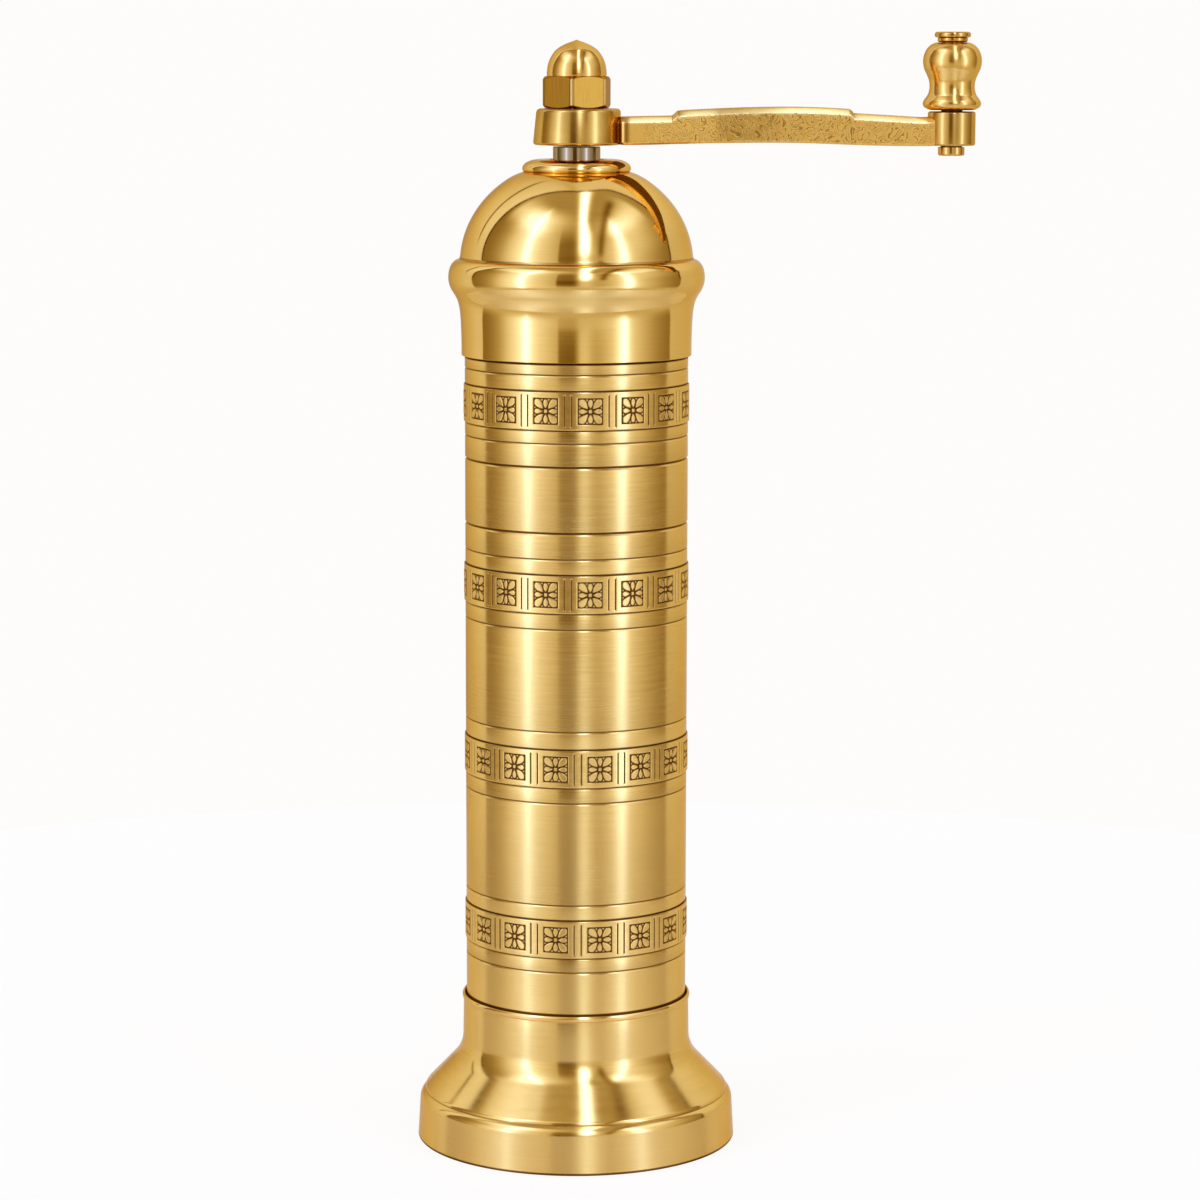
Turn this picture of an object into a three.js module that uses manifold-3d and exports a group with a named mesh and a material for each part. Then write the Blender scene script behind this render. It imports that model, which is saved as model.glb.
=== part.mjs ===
// Salt mill: a tall turned brass table mill with a crank on top.
// The salt is poured in at the top of the tube, under the lift-off domed cap. The crank turns a
// steel spindle that runs down the tube to a toothed cone, which turns inside a toothed ring in the
// foot. A thumb screw under the foot lifts the spindle on a steel ball and so sets the grind.
// Millimetres. +Z is up, the origin is on the mill's axis in the plane that the foot stands on, and
// the crank points along +X.

import * as THREE from "three";
import { mergeVertices } from "three/addons/utils/BufferGeometryUtils.js";
import Module from "manifold-3d";

const wasm = await Module();
wasm.setup();

// Driving dimensions

// clearances
const seatGap = 0.3; // between two pieces that rest on each other
const holeGap = 0.3; // all round a screw, pin or stud in its hole
const runningGap = 0.2; // all round the spindle in its bearings
const tubeFit = 0.15; // all round the tube in the foot and in the cap

// facets round a full turn
const shellSides = 48;
const smallSides = 24;
const pinSides = 12;
const shoulderFacets = 4; // along the foot's shoulder
const neckFacets = 4; // along the fillet below the foot's neck
const beadFacets = 5;
const domeFacets = 9;
const domeInnerFacets = 5;
const nutDomeFacets = 7;
const cutPast = 1; // how far a cut runs past the faces that it opens

// foot
const footFlare = 9.33; // of the standing ring beyond the neck
const footBandHeight = 7.8;
const footBandTaper = 0.45;
const footShoulderCurve = 2.2;
const footShoulderSweep = 64; // degrees, up to the crease below the cone
const footConeAngle = THREE.MathUtils.degToRad(48);
const footNeckCurve = 6.7; // of the fillet between cone and neck
const footNeckWall = 0.95;
const footNeckTaper = 0.3;
const footHeight = 30.8;
const footRimHeight = 1.2;
const footRimProud = 0.12;
const footRimRound = 0.4;
const footRimEase = 0.3;
const footStandWidth = 3.1;
const footEdge = 0.5;
const footCheekWidth = 3.6; // of wall beside the ledge
const ledgeTop = 16.3;
const ledgeThickness = 2.4;
const ledgeWidth = 4.4; // from the tube's bore inwards

// body tube
const tubeRadius = 22.87;
const tubeWall = 1.47;
const tubeShownLength = 133.3; // from the foot's rim to the cap's edge
const spigotLength = 12;
const spigotStep = 0.42;

// raised frieze bands on the tube: two are measured to their middles from the foot's rim, and two
// from the cap's edge
const friezeProud = 0.25;
const friezeHeight = 7.8;
const friezeAboveRim = [15.9, 51.3];
const friezeBelowCap = [46.25, 9.1];

// cap
const capWall = 1.1;
const capSkirtFlare = 0.3;
const capCoveLevel = 9; // above the cap's edge, like the other levels here
const capCoveOut = 1.4;
const capCoveTopLevel = 12.7;
const capBeadLevel = 16.3;
const capBeadProud = 2.63;
const capBeadHalfHeight = 3.9;
const capBeadFrom = -45; // degrees from the bead's widest place
const capBeadTo = 72;
const domeLevel = 19; // of the middle of the ellipse that the dome follows
const domeFootLevel = 20.9;
const domeRise = 21.3;
const domeOut = 0.25; // of the dome's widest place beyond the skirt
const collarRadius = 11;
const collarHeight = 2;
const collarEdge = 1.3;

// spindle, its sleeve, and the clip, washer and spring on it
const spindleRadius = 3.5;
const driveFlatDepth = 0.8; // of the squares' flats below the rod's surface
const threadStep = 0.3; // of the threads inside the squares
const spindleThreadTop = 10.5; // above the crank
const sleeveWall = 1.15;
const sleeveLength = 12;
const sleeveShown = 2.9; // above the cap
const clipGrooveDepth = 0.8;
const clipProud = 2.7; // of the rod
const clipThickness = 1;
const clipSnap = 0.8; // that the clip's mouth is narrower than the groove
const springSeatThickness = 1.2;
const springSeatMargin = 1.3; // of the washer outside the spring
const springWireRadius = 0.6;
const springBushGap = 0.6; // of the spring outside the bush
const springLength = 26;
const springCurls = 9;
const curlSteps = 8;
const wireSides = 5;

// upper bridge and its bush
const upperBridgeDepth = 16; // of its top below the tube's top
const upperBridgeWidth = 10;
const upperBridgeThickness = 1.6;
const upperBridgeTab = 6;
const upperBridgeEyeWall = 3.2; // round the bush
const bushWall = 1.2;
const bushFlangeWidth = 2.7;
const bushFlangeThickness = 1.2;
const bushBelowBridge = 3;

// crank
const crankReach = 76.5;
const hubRadius = 9;
const hubTaper = 0.8;
const hubHeight = 7.4;
const hubEdge = 0.8;
const hubLowerEdge = 0.4;
const armWidthAtHub = 10.5;
const armWidthAtBoss = 8;
const armRootThickness = 5.5;
const armFoot = 0.3; // of the arm's underside above the hub's underside
const armArch = 1.1; // rise of the underside at mid length
const armRaised = 1; // step up to the raised middle stretch
const armCrown = 0.8; // rise of that stretch's top at its middle
const armPlainAtHub = 20;
const armPlainAtBoss = 20;
const armStepLength = 1.4;
const armTopBevel = 1.2;
const armLowerEdge = 0.4;
const bossRadius = 4.86;
const bossHeight = 6.9;
const bossEdge = 0.4;

// knob and its pin
const knobFootRadius = 4.6;
const knobFlareRadius = 6;
const knobWaistRadius = 4.6;
const knobBulbRadius = 6.05;
const knobCrownRadius = 4.4;
const knobHeight = 13.6;
const knobFlareLevel = 1.3; // above the knob's foot, like the other levels here
const knobWaistLevel = 4.8;
const knobBulbLevel = 9.9;
const pinRadius = 2.2;
const pinHeadProud = 1.6; // of the pin, like the neck and the stub below
const pinHeadThickness = 1.5;
const pinNeckProud = 0.9;
const pinNeckHeight = 0.6;
const pinStubProud = 0.5;
const pinStubLength = 1.75;
const pinEdge = 0.375;

// acorn nut
const nutAcrossFlats = 13;
const nutHexHeight = 6.2;
const nutChamfer = 0.6;
const chamferRise = 0.6; // of a hexagon's corner chamfer, for each unit inwards
const nutDomeInset = 0.35; // of the dome inside the flats
const nutDomeHeight = 7.6;
const nutDomeTo = 82; // degrees up the dome, where the flat of the tip starts
const nutTipRadius = 0.5;
const nutThreadDepth = 11;
const nutTurn = THREE.MathUtils.degToRad(-7.7); // of one corner from the front, clockwise from above

// burrs
const burrTeeth = 12;
const burrToothSteps = 4; // facets a tooth
const burrRings = 4;
const burrBite = 0.9;
const burrHeight = 13;
const burrInset = 1.8; // of the cone's wide end inside the ledge's bore
const burrTopRadius = 8;
const burrGapBottom = 0.8; // between the teeth's tips at rest
const burrGapTop = 2.6;
const burrRingHopper = 2.9;
const burrRingLip = 0.8;
const burrNutAcrossFlats = 9;
const burrNutThickness = 3;

// ball, adjusting screw, lock nut, lower bridge and its screws
const ballRadius = 2;
const ballCupDepth = 1;
const ballCupEase = 0.15; // of the cups' radius beyond the ball's
const screwLift = 1; // of the thumb screw's flat end above the table
const thumbRadius = 9;
const thumbFlutes = 24;
const thumbFluteDepth = 0.5;
const thumbLand = 0.5; // share of each flute's pitch that stays at full radius
const thumbEdge = 0.6;
const adjusterRadius = 2.9;
const adjusterTravel = 0.7; // of the screw, the ball and the spindle, upwards from rest
const lockNutAcrossFlats = 10;
const lockNutThickness = 3;
const smallNutChamfer = 0.3;
const lowerBridgeWidth = 10;
const lowerBridgeThickness = 3;
const lowerBridgeEnd = 4.6; // past its screws
const bridgeScrewRadius = 1.5;
const bridgeScrewGrip = 5.4; // in the burr ring
const bridgeScrewHeadRadius = 2.7;
const bridgeScrewHeadHeight = 1.8;
const bridgeScrewHeadCrown = 0.9;
const bridgeScrewHeadEase = 0.3;

// Sizes and heights that follow from these

const socketRadius = tubeRadius + tubeFit;
const neckRadius = socketRadius + footNeckWall;
const footRadius = neckRadius + footFlare;
const tubeBore = tubeRadius - tubeWall;
const ledgeBottom = ledgeTop - ledgeThickness;
const ledgeBore = tubeBore - ledgeWidth;
const seatHeight = ledgeTop + seatGap; // where the tube and the burr ring stand
const shoulderHeight = footHeight + tubeShownLength;
const tubeTop = shoulderHeight + spigotLength;
const spigotRadius = tubeRadius - spigotStep;
const friezeHeights = [
  ...friezeAboveRim.map((level) => footHeight + level),
  ...friezeBelowCap.map((level) => shoulderHeight - level),
];

const lowerBridgeTop = ledgeBottom - seatGap;
const lowerBridgeBottom = lowerBridgeTop - lowerBridgeThickness;
const lockNutTop = lowerBridgeBottom - seatGap;
const thumbTop = lockNutTop - lockNutThickness - adjusterTravel - seatGap;
const adjusterTip = lowerBridgeTop + holeGap + seatGap;
const ballCupRadius = ballRadius + ballCupEase;
const ballCentre = adjusterTip - ballCupDepth + seatGap + ballRadius;
const spindleTip = ballCentre + ballRadius + seatGap - ballCupDepth;
const burrNutBottom = spindleTip + holeGap;
const burrBottom = burrNutBottom + burrNutThickness + seatGap;
const burrTop = burrBottom + burrHeight;
const burrBottomRadius = ledgeBore - burrInset;
const burrRingRadius = tubeBore - seatGap;
const burrRingTop = burrTop + burrRingHopper;
const bridgeScrewCircle = (ledgeBore + burrRingRadius) / 2;

const capBottom = shoulderHeight + seatGap;
const skirtBore = spigotRadius + tubeFit;
const skirtRadius = skirtBore + capWall;
const domeMiddle = capBottom + domeLevel;
const domeRadius = skirtRadius + domeOut;
const spindleBore = spindleRadius + runningGap; // of all that the spindle runs in or that slides on it
const driveSquare = 2 * (spindleRadius - driveFlatDepth);
const driveHole = driveSquare + 2 * runningGap;
const spindleThreadRadius = driveSquare / 2 - threadStep;
const threadHole = spindleThreadRadius + holeGap;
const clipGrooveRadius = spindleRadius - clipGrooveDepth;
const clipRadius = spindleRadius + clipProud;
const clipMouth = 2 * clipGrooveRadius - clipSnap;
const sleeveRadius = spindleBore + sleeveWall;
const capHole = sleeveRadius + holeGap;
const collarBottom = domeMiddle + domeRise * Math.sqrt(1 - (collarRadius / domeRadius) ** 2);
const capTop = collarBottom + collarHeight;

const sleeveTop = capTop + sleeveShown;
const crankBottom = sleeveTop + seatGap;
const crankTop = crankBottom + hubHeight;
const nutBottom = crankTop + seatGap;
const nutHexTop = nutBottom + nutHexHeight;
const bossTop = crankBottom + bossHeight;
const knobBottom = bossTop + seatGap;
const knobTop = knobBottom + knobHeight;
const pinHole = pinRadius + holeGap;
const nutDomeRadius = nutAcrossFlats / 2 - nutDomeInset;

const upperBridgeTop = tubeTop - upperBridgeDepth;
const upperBridgeBottom = upperBridgeTop - upperBridgeThickness;
const bushRadius = spindleBore + bushWall;
const bushFlangeRadius = bushRadius + bushFlangeWidth;
const springMeanRadius = bushRadius + springBushGap + springWireRadius;
const springSeatRadius = springMeanRadius + springWireRadius + springSeatMargin;
const springTop = upperBridgeBottom - seatGap;
const springBottom = springTop - springLength;
const springSeatTop = springBottom - seatGap;
const clipTop = springSeatTop - springSeatThickness - seatGap;

// Shaping

// points of an arc of an ellipse in the (radius, height) plane, with its angles in degrees from the
// outward direction
function arc(radius, height, halfWidth, halfHeight, from, to, steps) {
  const toRadians = THREE.MathUtils.degToRad;
  const curve = new THREE.EllipseCurve(
    radius, height, halfWidth, halfHeight, toRadians(from), toRadians(to), to < from,
  );
  return curve.getPoints(steps).map((point) => [point.x, point.y]);
}

// a closed outline of [radius, height] points turned about the mill's axis. It runs up the outside and
// down the inside
function turned(outline, sides) {
  const points = outline.map(([radius, height]) => new THREE.Vector2(radius, height));
  if (outline[0][0] > 0) points.push(points[0].clone());
  return new THREE.LatheGeometry(points, sides).rotateX(Math.PI / 2);
}

// a plain ring between two radii and two heights
function ring(innerRadius, outerRadius, bottom, top, sides) {
  return turned(
    [
      [innerRadius, bottom],
      [outerRadius, bottom],
      [outerRadius, top],
      [innerRadius, top],
    ],
    sides,
  );
}

// a plain rod on the mill's axis
function rod(radius, bottom, top, sides) {
  return turned(
    [
      [0, bottom],
      [radius, bottom],
      [radius, top],
      [0, top],
    ],
    sides,
  );
}

// a flat outline in x and y raised between two heights
function raised(shape, bottom, top) {
  const settings = { depth: top - bottom, bevelEnabled: false, curveSegments: pinSides };
  return new THREE.ExtrudeGeometry(shape, settings).translate(0, 0, bottom);
}

function polygon(points) {
  return new THREE.Shape(points.map(([x, y]) => new THREE.Vector2(x, y)));
}

function block(length, width, bottom, top) {
  return new THREE.BoxGeometry(length, width, top - bottom).translate(0, 0, (bottom + top) / 2);
}

function hexagon(acrossFlats) {
  const corner = acrossFlats / Math.sqrt(3);
  const angles = [0, 1, 2, 3, 4, 5].map((side) => (side * Math.PI) / 3);
  return polygon(angles.map((angle) => [corner * Math.cos(angle), corner * Math.sin(angle)]));
}

// a hexagonal prism whose corners are chamfered at both faces
function hexagonPrism(acrossFlats, bottom, top, chamfer) {
  const corner = acrossFlats / Math.sqrt(3);
  const lathe = turned(
    [
      [0, bottom],
      [corner - chamfer, bottom],
      [corner, bottom + chamfer * chamferRise],
      [corner, top - chamfer * chamferRise],
      [corner - chamfer, top],
      [0, top],
    ],
    smallSides,
  );
  return solid(raised(hexagon(acrossFlats), bottom, top)).intersect(solid(lathe));
}

// Joining and cutting

function solid(geometry) {
  const bare = geometry.clone();
  for (const name of Object.keys(bare.attributes)) {
    if (name !== "position") bare.deleteAttribute(name);
  }
  const merged = mergeVertices(bare, 1e-4);
  return new wasm.Manifold(
    new wasm.Mesh({
      numProp: 3,
      vertProperties: merged.attributes.position.array,
      triVerts: new Uint32Array(merged.index.array),
    }),
  );
}

function geometryOf(made) {
  const mesh = made.getMesh();
  const geometry = new THREE.BufferGeometry();
  geometry.setAttribute("position", new THREE.BufferAttribute(mesh.vertProperties, 3));
  geometry.setIndex(new THREE.BufferAttribute(mesh.triVerts, 1));
  geometry.computeVertexNormals();
  return geometry;
}

// cuts the same round hole, between two heights, where each of the lower bridge's screws goes
function drilledForScrews(made, bottom, top) {
  let drilled = made;
  for (const side of [1, -1]) {
    const hole = rod(bridgeScrewRadius + holeGap, bottom, top, pinSides);
    drilled = drilled.subtract(solid(hole.translate(side * bridgeScrewCircle, 0, 0)));
  }
  return drilled;
}

// the hollow in which the ball lies, as a ball about a height on the axis
function ballCup(centre) {
  return solid(
    new THREE.SphereGeometry(ballCupRadius, pinSides, pinSides / 2)
      .rotateX(Math.PI / 2)
      .translate(0, 0, centre),
  );
}

// the square hole that fits a square on the spindle
function squareHole(bottom, top) {
  return solid(block(driveHole, driveHole, bottom - cutPast, top + cutPast));
}

// Finishes

const turnedBrass = { color: 0xc9892e, roughness: 0.32, metalness: 1 };
const castBrass = { color: 0xbf8030, roughness: 0.45, metalness: 1 };
const brightBrass = { color: 0xd9a441, roughness: 0.22, metalness: 1 };
const steel = { color: 0x8f8f8d, roughness: 0.3, metalness: 1 };
const hardSteel = { color: 0x6e6f70, roughness: 0.42, metalness: 1 };

const mill = new THREE.Group();

function piece(name, geometry, finish, parent = mill) {
  const mesh = new THREE.Mesh(geometry, new THREE.MeshStandardMaterial({ ...finish }));
  mesh.name = name;
  parent.add(mesh);
  return mesh;
}

// Foot: a cast and turned bell with a standing ring, a rounded shoulder, a cone and a neck that holds
// the tube. Inside it a ledge carries the tube and the burr ring, and is drilled for the lower
// bridge's screws.
function foot() {
  const neckTop = neckRadius - footNeckTaper;
  const shoulder = arc(
    footRadius - footBandTaper - footShoulderCurve, footBandHeight,
    footShoulderCurve, footShoulderCurve, 0, footShoulderSweep, shoulderFacets,
  );
  const [coneRadius, coneHeight] = shoulder[shoulder.length - 1];
  const neckTurn = 90 - THREE.MathUtils.radToDeg(footConeAngle);
  const coneTopRadius = neckRadius + footNeckCurve * (1 - Math.sin(footConeAngle));
  const coneTop = coneHeight + (coneRadius - coneTopRadius) * Math.tan(footConeAngle);
  const fillet = arc(
    neckRadius + footNeckCurve, coneTop + footNeckCurve * Math.cos(footConeAngle),
    footNeckCurve, footNeckCurve, 180 + neckTurn, 180, neckFacets,
  );
  const rimBottom = footHeight - footRimHeight;
  const hollow = footRadius - footStandWidth;
  const cheek = Math.min(hollow, coneRadius - footCheekWidth);
  const outline = [
    [hollow, 0],
    [footRadius - footEdge, 0],
    [footRadius, footEdge],
    ...shoulder,
    ...fillet,
    [neckTop, rimBottom],
    [neckTop + footRimProud, rimBottom + footRimRound],
    [neckTop + footRimProud, footHeight - footRimRound],
    [(neckTop + socketRadius) / 2, footHeight],
    [socketRadius, footHeight - footRimEase],
    [socketRadius, ledgeTop],
    [ledgeBore, ledgeTop],
    [ledgeBore, ledgeBottom],
    [cheek - ledgeThickness, ledgeBottom],
    [cheek, ledgeBottom - ledgeThickness],
    [hollow, footBandHeight / 2],
  ];
  const made = solid(turned(outline, shellSides));
  return geometryOf(drilledForScrews(made, ledgeBottom - cutPast, ledgeTop + cutPast));
}

// Body tube: drawn brass, turned outside, with four raised frieze bands and a spigot for the cap.
function bodyTube() {
  const outline = [
    [tubeBore, seatHeight],
    [tubeRadius, seatHeight],
  ];
  for (const middle of friezeHeights) {
    const low = middle - friezeHeight / 2;
    const high = middle + friezeHeight / 2;
    outline.push([tubeRadius, low], [tubeRadius + friezeProud, low]);
    outline.push([tubeRadius + friezeProud, high], [tubeRadius, high]);
  }
  outline.push([tubeRadius, shoulderHeight], [spigotRadius, shoulderHeight]);
  outline.push([spigotRadius, tubeTop], [tubeBore, tubeTop]);
  return turned(outline, shellSides);
}

// Cap: one spun and turned shell, a skirt that slips over the tube's spigot, a bead, an elliptical
// dome and a small collar round the spindle's hole.
function domeCap() {
  const beadHeight = capBottom + capBeadLevel;
  // the dome's ellipse from its foot up to a radius, as deep inside the shell as asked
  const dome = (depth, steps) => {
    const radius = domeRadius - depth;
    const rise = domeRise - depth;
    const from = Math.asin((domeFootLevel - domeLevel) / rise);
    const to = Math.acos(collarRadius / radius);
    const degrees = THREE.MathUtils.radToDeg;
    return arc(0, domeMiddle, radius, rise, degrees(from), degrees(to), steps);
  };
  const outside = [
    [skirtRadius, capBottom],
    [skirtRadius + capSkirtFlare, capBottom + capCoveLevel],
    [skirtRadius + capCoveOut, capBottom + capCoveTopLevel],
    ...arc(
      domeRadius, beadHeight, capBeadProud - domeOut, capBeadHalfHeight, capBeadFrom, capBeadTo, beadFacets,
    ),
    ...dome(0, domeFacets),
    [collarRadius, capTop - collarEdge],
    [collarRadius - collarEdge, capTop],
    [capHole, capTop],
  ];
  const inside = [
    [capHole, collarBottom - capWall],
    ...dome(capWall, domeInnerFacets).reverse(),
    [domeRadius + capBeadProud - 2 * capWall, beadHeight],
    [skirtBore, tubeTop + seatGap],
    [skirtBore, capBottom],
  ];
  return turned([...outside, ...inside], shellSides);
}

// Spindle: a steel rod, threaded at both ends, squared for the crank and for the burr, grooved for
// its clip and cupped at the lower end for the ball.
function spindle() {
  const squareTop = crankTop - seatGap;
  const squareBottom = crankBottom - seatGap;
  const burrSquareTop = burrTop + seatGap;
  const burrSquareBottom = burrBottom;
  const threadTop = crankTop + spindleThreadTop;
  const grooveTop = clipTop + seatGap;
  const grooveBottom = clipTop - clipThickness - seatGap;
  const body = turned(
    [
      [0, spindleTip],
      [spindleThreadRadius, spindleTip],
      [spindleThreadRadius, burrSquareBottom],
      [spindleRadius, burrSquareBottom],
      [spindleRadius, grooveBottom],
      [clipGrooveRadius, grooveBottom],
      [clipGrooveRadius, grooveTop],
      [spindleRadius, grooveTop],
      [spindleRadius, squareTop],
      [spindleThreadRadius, squareTop],
      [spindleThreadRadius, threadTop],
      [0, threadTop],
    ],
    smallSides,
  );
  const pastRod = 2 * (spindleRadius + cutPast);
  const flatsOf = (bottom, top) =>
    solid(block(pastRod, pastRod, bottom, top)).subtract(
      solid(block(driveSquare, driveSquare, bottom - cutPast, top + cutPast)),
    );
  const made = solid(body)
    .subtract(flatsOf(squareBottom, squareTop))
    .subtract(flatsOf(burrSquareBottom, burrSquareTop))
    .subtract(ballCup(spindleTip + ballCupDepth - ballCupRadius));
  return geometryOf(made);
}

// Retaining clip: an open ring that snaps into the spindle's groove from the side.
function retainingClip() {
  const bore = clipGrooveRadius + runningGap;
  const bottom = clipTop - clipThickness;
  const clip = ring(bore, clipRadius, bottom, clipTop, smallSides);
  const mouth = block(2 * clipRadius, clipMouth, bottom - cutPast, clipTop + cutPast);
  return geometryOf(solid(clip).subtract(solid(mouth.translate(clipRadius, 0, 0))));
}

// Spring: one steel wire wound round the spindle, pressing it down on the ball.
class Winding extends THREE.Curve {
  getPoint(share, target = new THREE.Vector3()) {
    const angle = share * springCurls * 2 * Math.PI;
    const run = springLength - 2 * springWireRadius;
    return target.set(
      springMeanRadius * Math.cos(angle),
      springMeanRadius * Math.sin(angle),
      springBottom + springWireRadius + share * run,
    );
  }
}

function spring() {
  const corners = [];
  for (let side = 0; side < wireSides; side += 1) {
    const angle = (side * 2 * Math.PI) / wireSides;
    corners.push([springWireRadius * Math.cos(angle), springWireRadius * Math.sin(angle)]);
  }
  return new THREE.ExtrudeGeometry(polygon(corners), {
    steps: springCurls * curlSteps,
    extrudePath: new Winding(),
    bevelEnabled: false,
  });
}

// least open distance between neighbouring curls, measured on points one curl apart
function springSelfGap() {
  const winding = new Winding();
  const pointsPerCurl = 36;
  const points = winding.getPoints(springCurls * pointsPerCurl);
  let least = Infinity;
  for (let a = 0; a < points.length; a += 1) {
    for (let b = a + pointsPerCurl / 2; b < points.length; b += 1) {
      least = Math.min(least, points[a].distanceTo(points[b]));
    }
  }
  return least - 2 * springWireRadius;
}

// Upper bridge: a brass strap across the tube with both ends turned down and soldered to the bore.
function upperBridge() {
  const reach = tubeBore - seatGap;
  const strap = solid(block(2 * reach, upperBridgeWidth, upperBridgeBottom, upperBridgeTop));
  const inTube = solid(rod(reach, upperBridgeTop - upperBridgeTab, upperBridgeTop + cutPast, shellSides));
  const bushHole = bushRadius + tubeFit;
  const eye = rod(bushHole + upperBridgeEyeWall, upperBridgeBottom, upperBridgeTop, smallSides);
  let made = strap.add(solid(eye));
  for (const side of [1, -1]) {
    const tab = block(
      2 * upperBridgeThickness, upperBridgeWidth, upperBridgeTop - upperBridgeTab, upperBridgeTop,
    );
    made = made.add(solid(tab.translate(side * (reach - upperBridgeThickness), 0, 0)));
  }
  const hole = rod(bushHole, upperBridgeBottom - cutPast, upperBridgeTop + cutPast, smallSides);
  return geometryOf(made.intersect(inTube).subtract(solid(hole)));
}

// Bush: a flanged brass bearing for the spindle, dropped into the upper bridge.
function upperBush() {
  const flangeBottom = upperBridgeTop + seatGap;
  const bottom = upperBridgeBottom - bushBelowBridge;
  return turned(
    [
      [spindleBore, bottom],
      [bushRadius, bottom],
      [bushRadius, flangeBottom],
      [bushFlangeRadius, flangeBottom],
      [bushFlangeRadius, flangeBottom + bushFlangeThickness],
      [spindleBore, flangeBottom + bushFlangeThickness],
    ],
    smallSides,
  );
}

// the arm's underside and top face at a distance from the mill's axis
function armHeights(along) {
  const raisedTo = crankReach - armPlainAtBoss;
  const underside = crankBottom + armFoot + armArch * Math.sin((along / crankReach) * Math.PI);
  const plainTop = crankBottom + armFoot + armRootThickness;
  if (along < armPlainAtHub || along > raisedTo) return [underside, plainTop];
  const middle = (armPlainAtHub + raisedTo) / 2;
  const share = (along - middle) / (raisedTo - middle);
  return [underside, plainTop + armRaised + armCrown * (1 - share ** 2)];
}

// the arm as a skin over eight sided sections: bevelled along its top edges, eased along the lower ones
function armSkin() {
  const raisedTo = crankReach - armPlainAtBoss;
  const places = [0, armPlainAtHub / 2, armPlainAtHub - armStepLength];
  const spans = 6;
  for (let step = 0; step <= spans; step += 1) {
    places.push(armPlainAtHub + ((raisedTo - armPlainAtHub) * step) / spans);
  }
  places.push(raisedTo + armStepLength, (raisedTo + crankReach) / 2, crankReach);
  const points = [];
  for (const along of places) {
    const half = THREE.MathUtils.lerp(armWidthAtHub, armWidthAtBoss, along / crankReach) / 2;
    const [low, high] = armHeights(along);
    const oneSide = [
      [half - armLowerEdge, low],
      [half, low + armLowerEdge],
      [half, high - armTopBevel],
      [half - armTopBevel, high],
    ];
    const otherSide = oneSide.map(([width, height]) => [-width, height]).reverse();
    for (const [width, height] of [...oneSide, ...otherSide]) points.push([along, width, height]);
  }
  const around = points.length / places.length;
  const faces = [];
  for (let span = 0; span < places.length - 1; span += 1) {
    for (let corner = 0; corner < around; corner += 1) {
      const a = span * around + corner;
      const b = span * around + ((corner + 1) % around);
      faces.push([a, b, a + around], [b, b + around, a + around]);
    }
  }
  const last = (places.length - 1) * around;
  for (let corner = 1; corner < around - 1; corner += 1) {
    faces.push([0, corner + 1, corner], [last, last + corner, last + corner + 1]);
  }
  const geometry = new THREE.BufferGeometry();
  geometry.setAttribute("position", new THREE.Float32BufferAttribute(points.flat(), 3));
  geometry.setIndex(faces.flat());
  return geometry;
}

// Crank: one cast brass piece, a tapered hub, an arm with a raised and crowned middle, and a boss
// that holds the knob's pin.
function crankArm() {
  const hub = turned(
    [
      [0, crankBottom],
      [hubRadius - hubLowerEdge, crankBottom],
      [hubRadius, crankBottom + hubEdge],
      [hubRadius - hubTaper, crankTop - hubEdge],
      [hubRadius - hubTaper - hubEdge, crankTop],
      [0, crankTop],
    ],
    shellSides / 2,
  );
  const bossOuter = turned(
    [
      [0, crankBottom],
      [bossRadius - bossEdge, crankBottom],
      [bossRadius, crankBottom + bossEdge],
      [bossRadius, bossTop - bossEdge],
      [bossRadius - bossEdge, bossTop],
      [0, bossTop],
    ],
    smallSides,
  ).translate(crankReach, 0, 0);
  const forPin = rod(pinHole, crankBottom - cutPast, bossTop + cutPast, pinSides);
  const made = solid(armSkin())
    .add(solid(hub))
    .add(solid(bossOuter))
    .subtract(squareHole(crankBottom, crankTop))
    .subtract(solid(forPin.translate(crankReach, 0, 0)));
  return geometryOf(made);
}

// Knob pin: turned with its head, put down through the knob and the boss and peened over below.
function knobPin() {
  const neckBottom = knobTop + seatGap;
  const headBottom = neckBottom + pinNeckHeight;
  const headTop = headBottom + pinHeadThickness;
  const stubTop = crankBottom - seatGap;
  const stubBottom = stubTop - pinStubLength;
  const stubRadius = pinRadius + pinStubProud;
  const neckOfPin = pinRadius + pinNeckProud;
  const headRadius = pinRadius + pinHeadProud;
  return turned(
    [
      [0, stubBottom],
      [stubRadius - pinEdge, stubBottom],
      [stubRadius, stubBottom + pinEdge],
      [stubRadius, stubTop],
      [pinRadius, stubTop],
      [pinRadius, neckBottom],
      [neckOfPin, neckBottom],
      [neckOfPin, headBottom],
      [headRadius, headBottom],
      [headRadius, headTop - pinEdge],
      [headRadius - pinEdge, headTop],
      [0, headTop],
    ],
    pinSides,
  );
}

// Knob: turned brass, a flared foot, a waist and a bulb, bored to spin on its pin.
function crankKnob() {
  const curve = new THREE.SplineCurve([
    new THREE.Vector2(knobFootRadius, knobBottom),
    new THREE.Vector2(knobFlareRadius, knobBottom + knobFlareLevel),
    new THREE.Vector2(knobWaistRadius, knobBottom + knobWaistLevel),
    new THREE.Vector2(knobBulbRadius, knobBottom + knobBulbLevel),
    new THREE.Vector2(knobCrownRadius, knobTop),
  ]);
  const outline = curve.getPoints(pinSides).map((point) => [point.x, point.y]);
  return turned([[pinHole, knobBottom], ...outline, [pinHole, knobTop]], smallSides);
}

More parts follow.
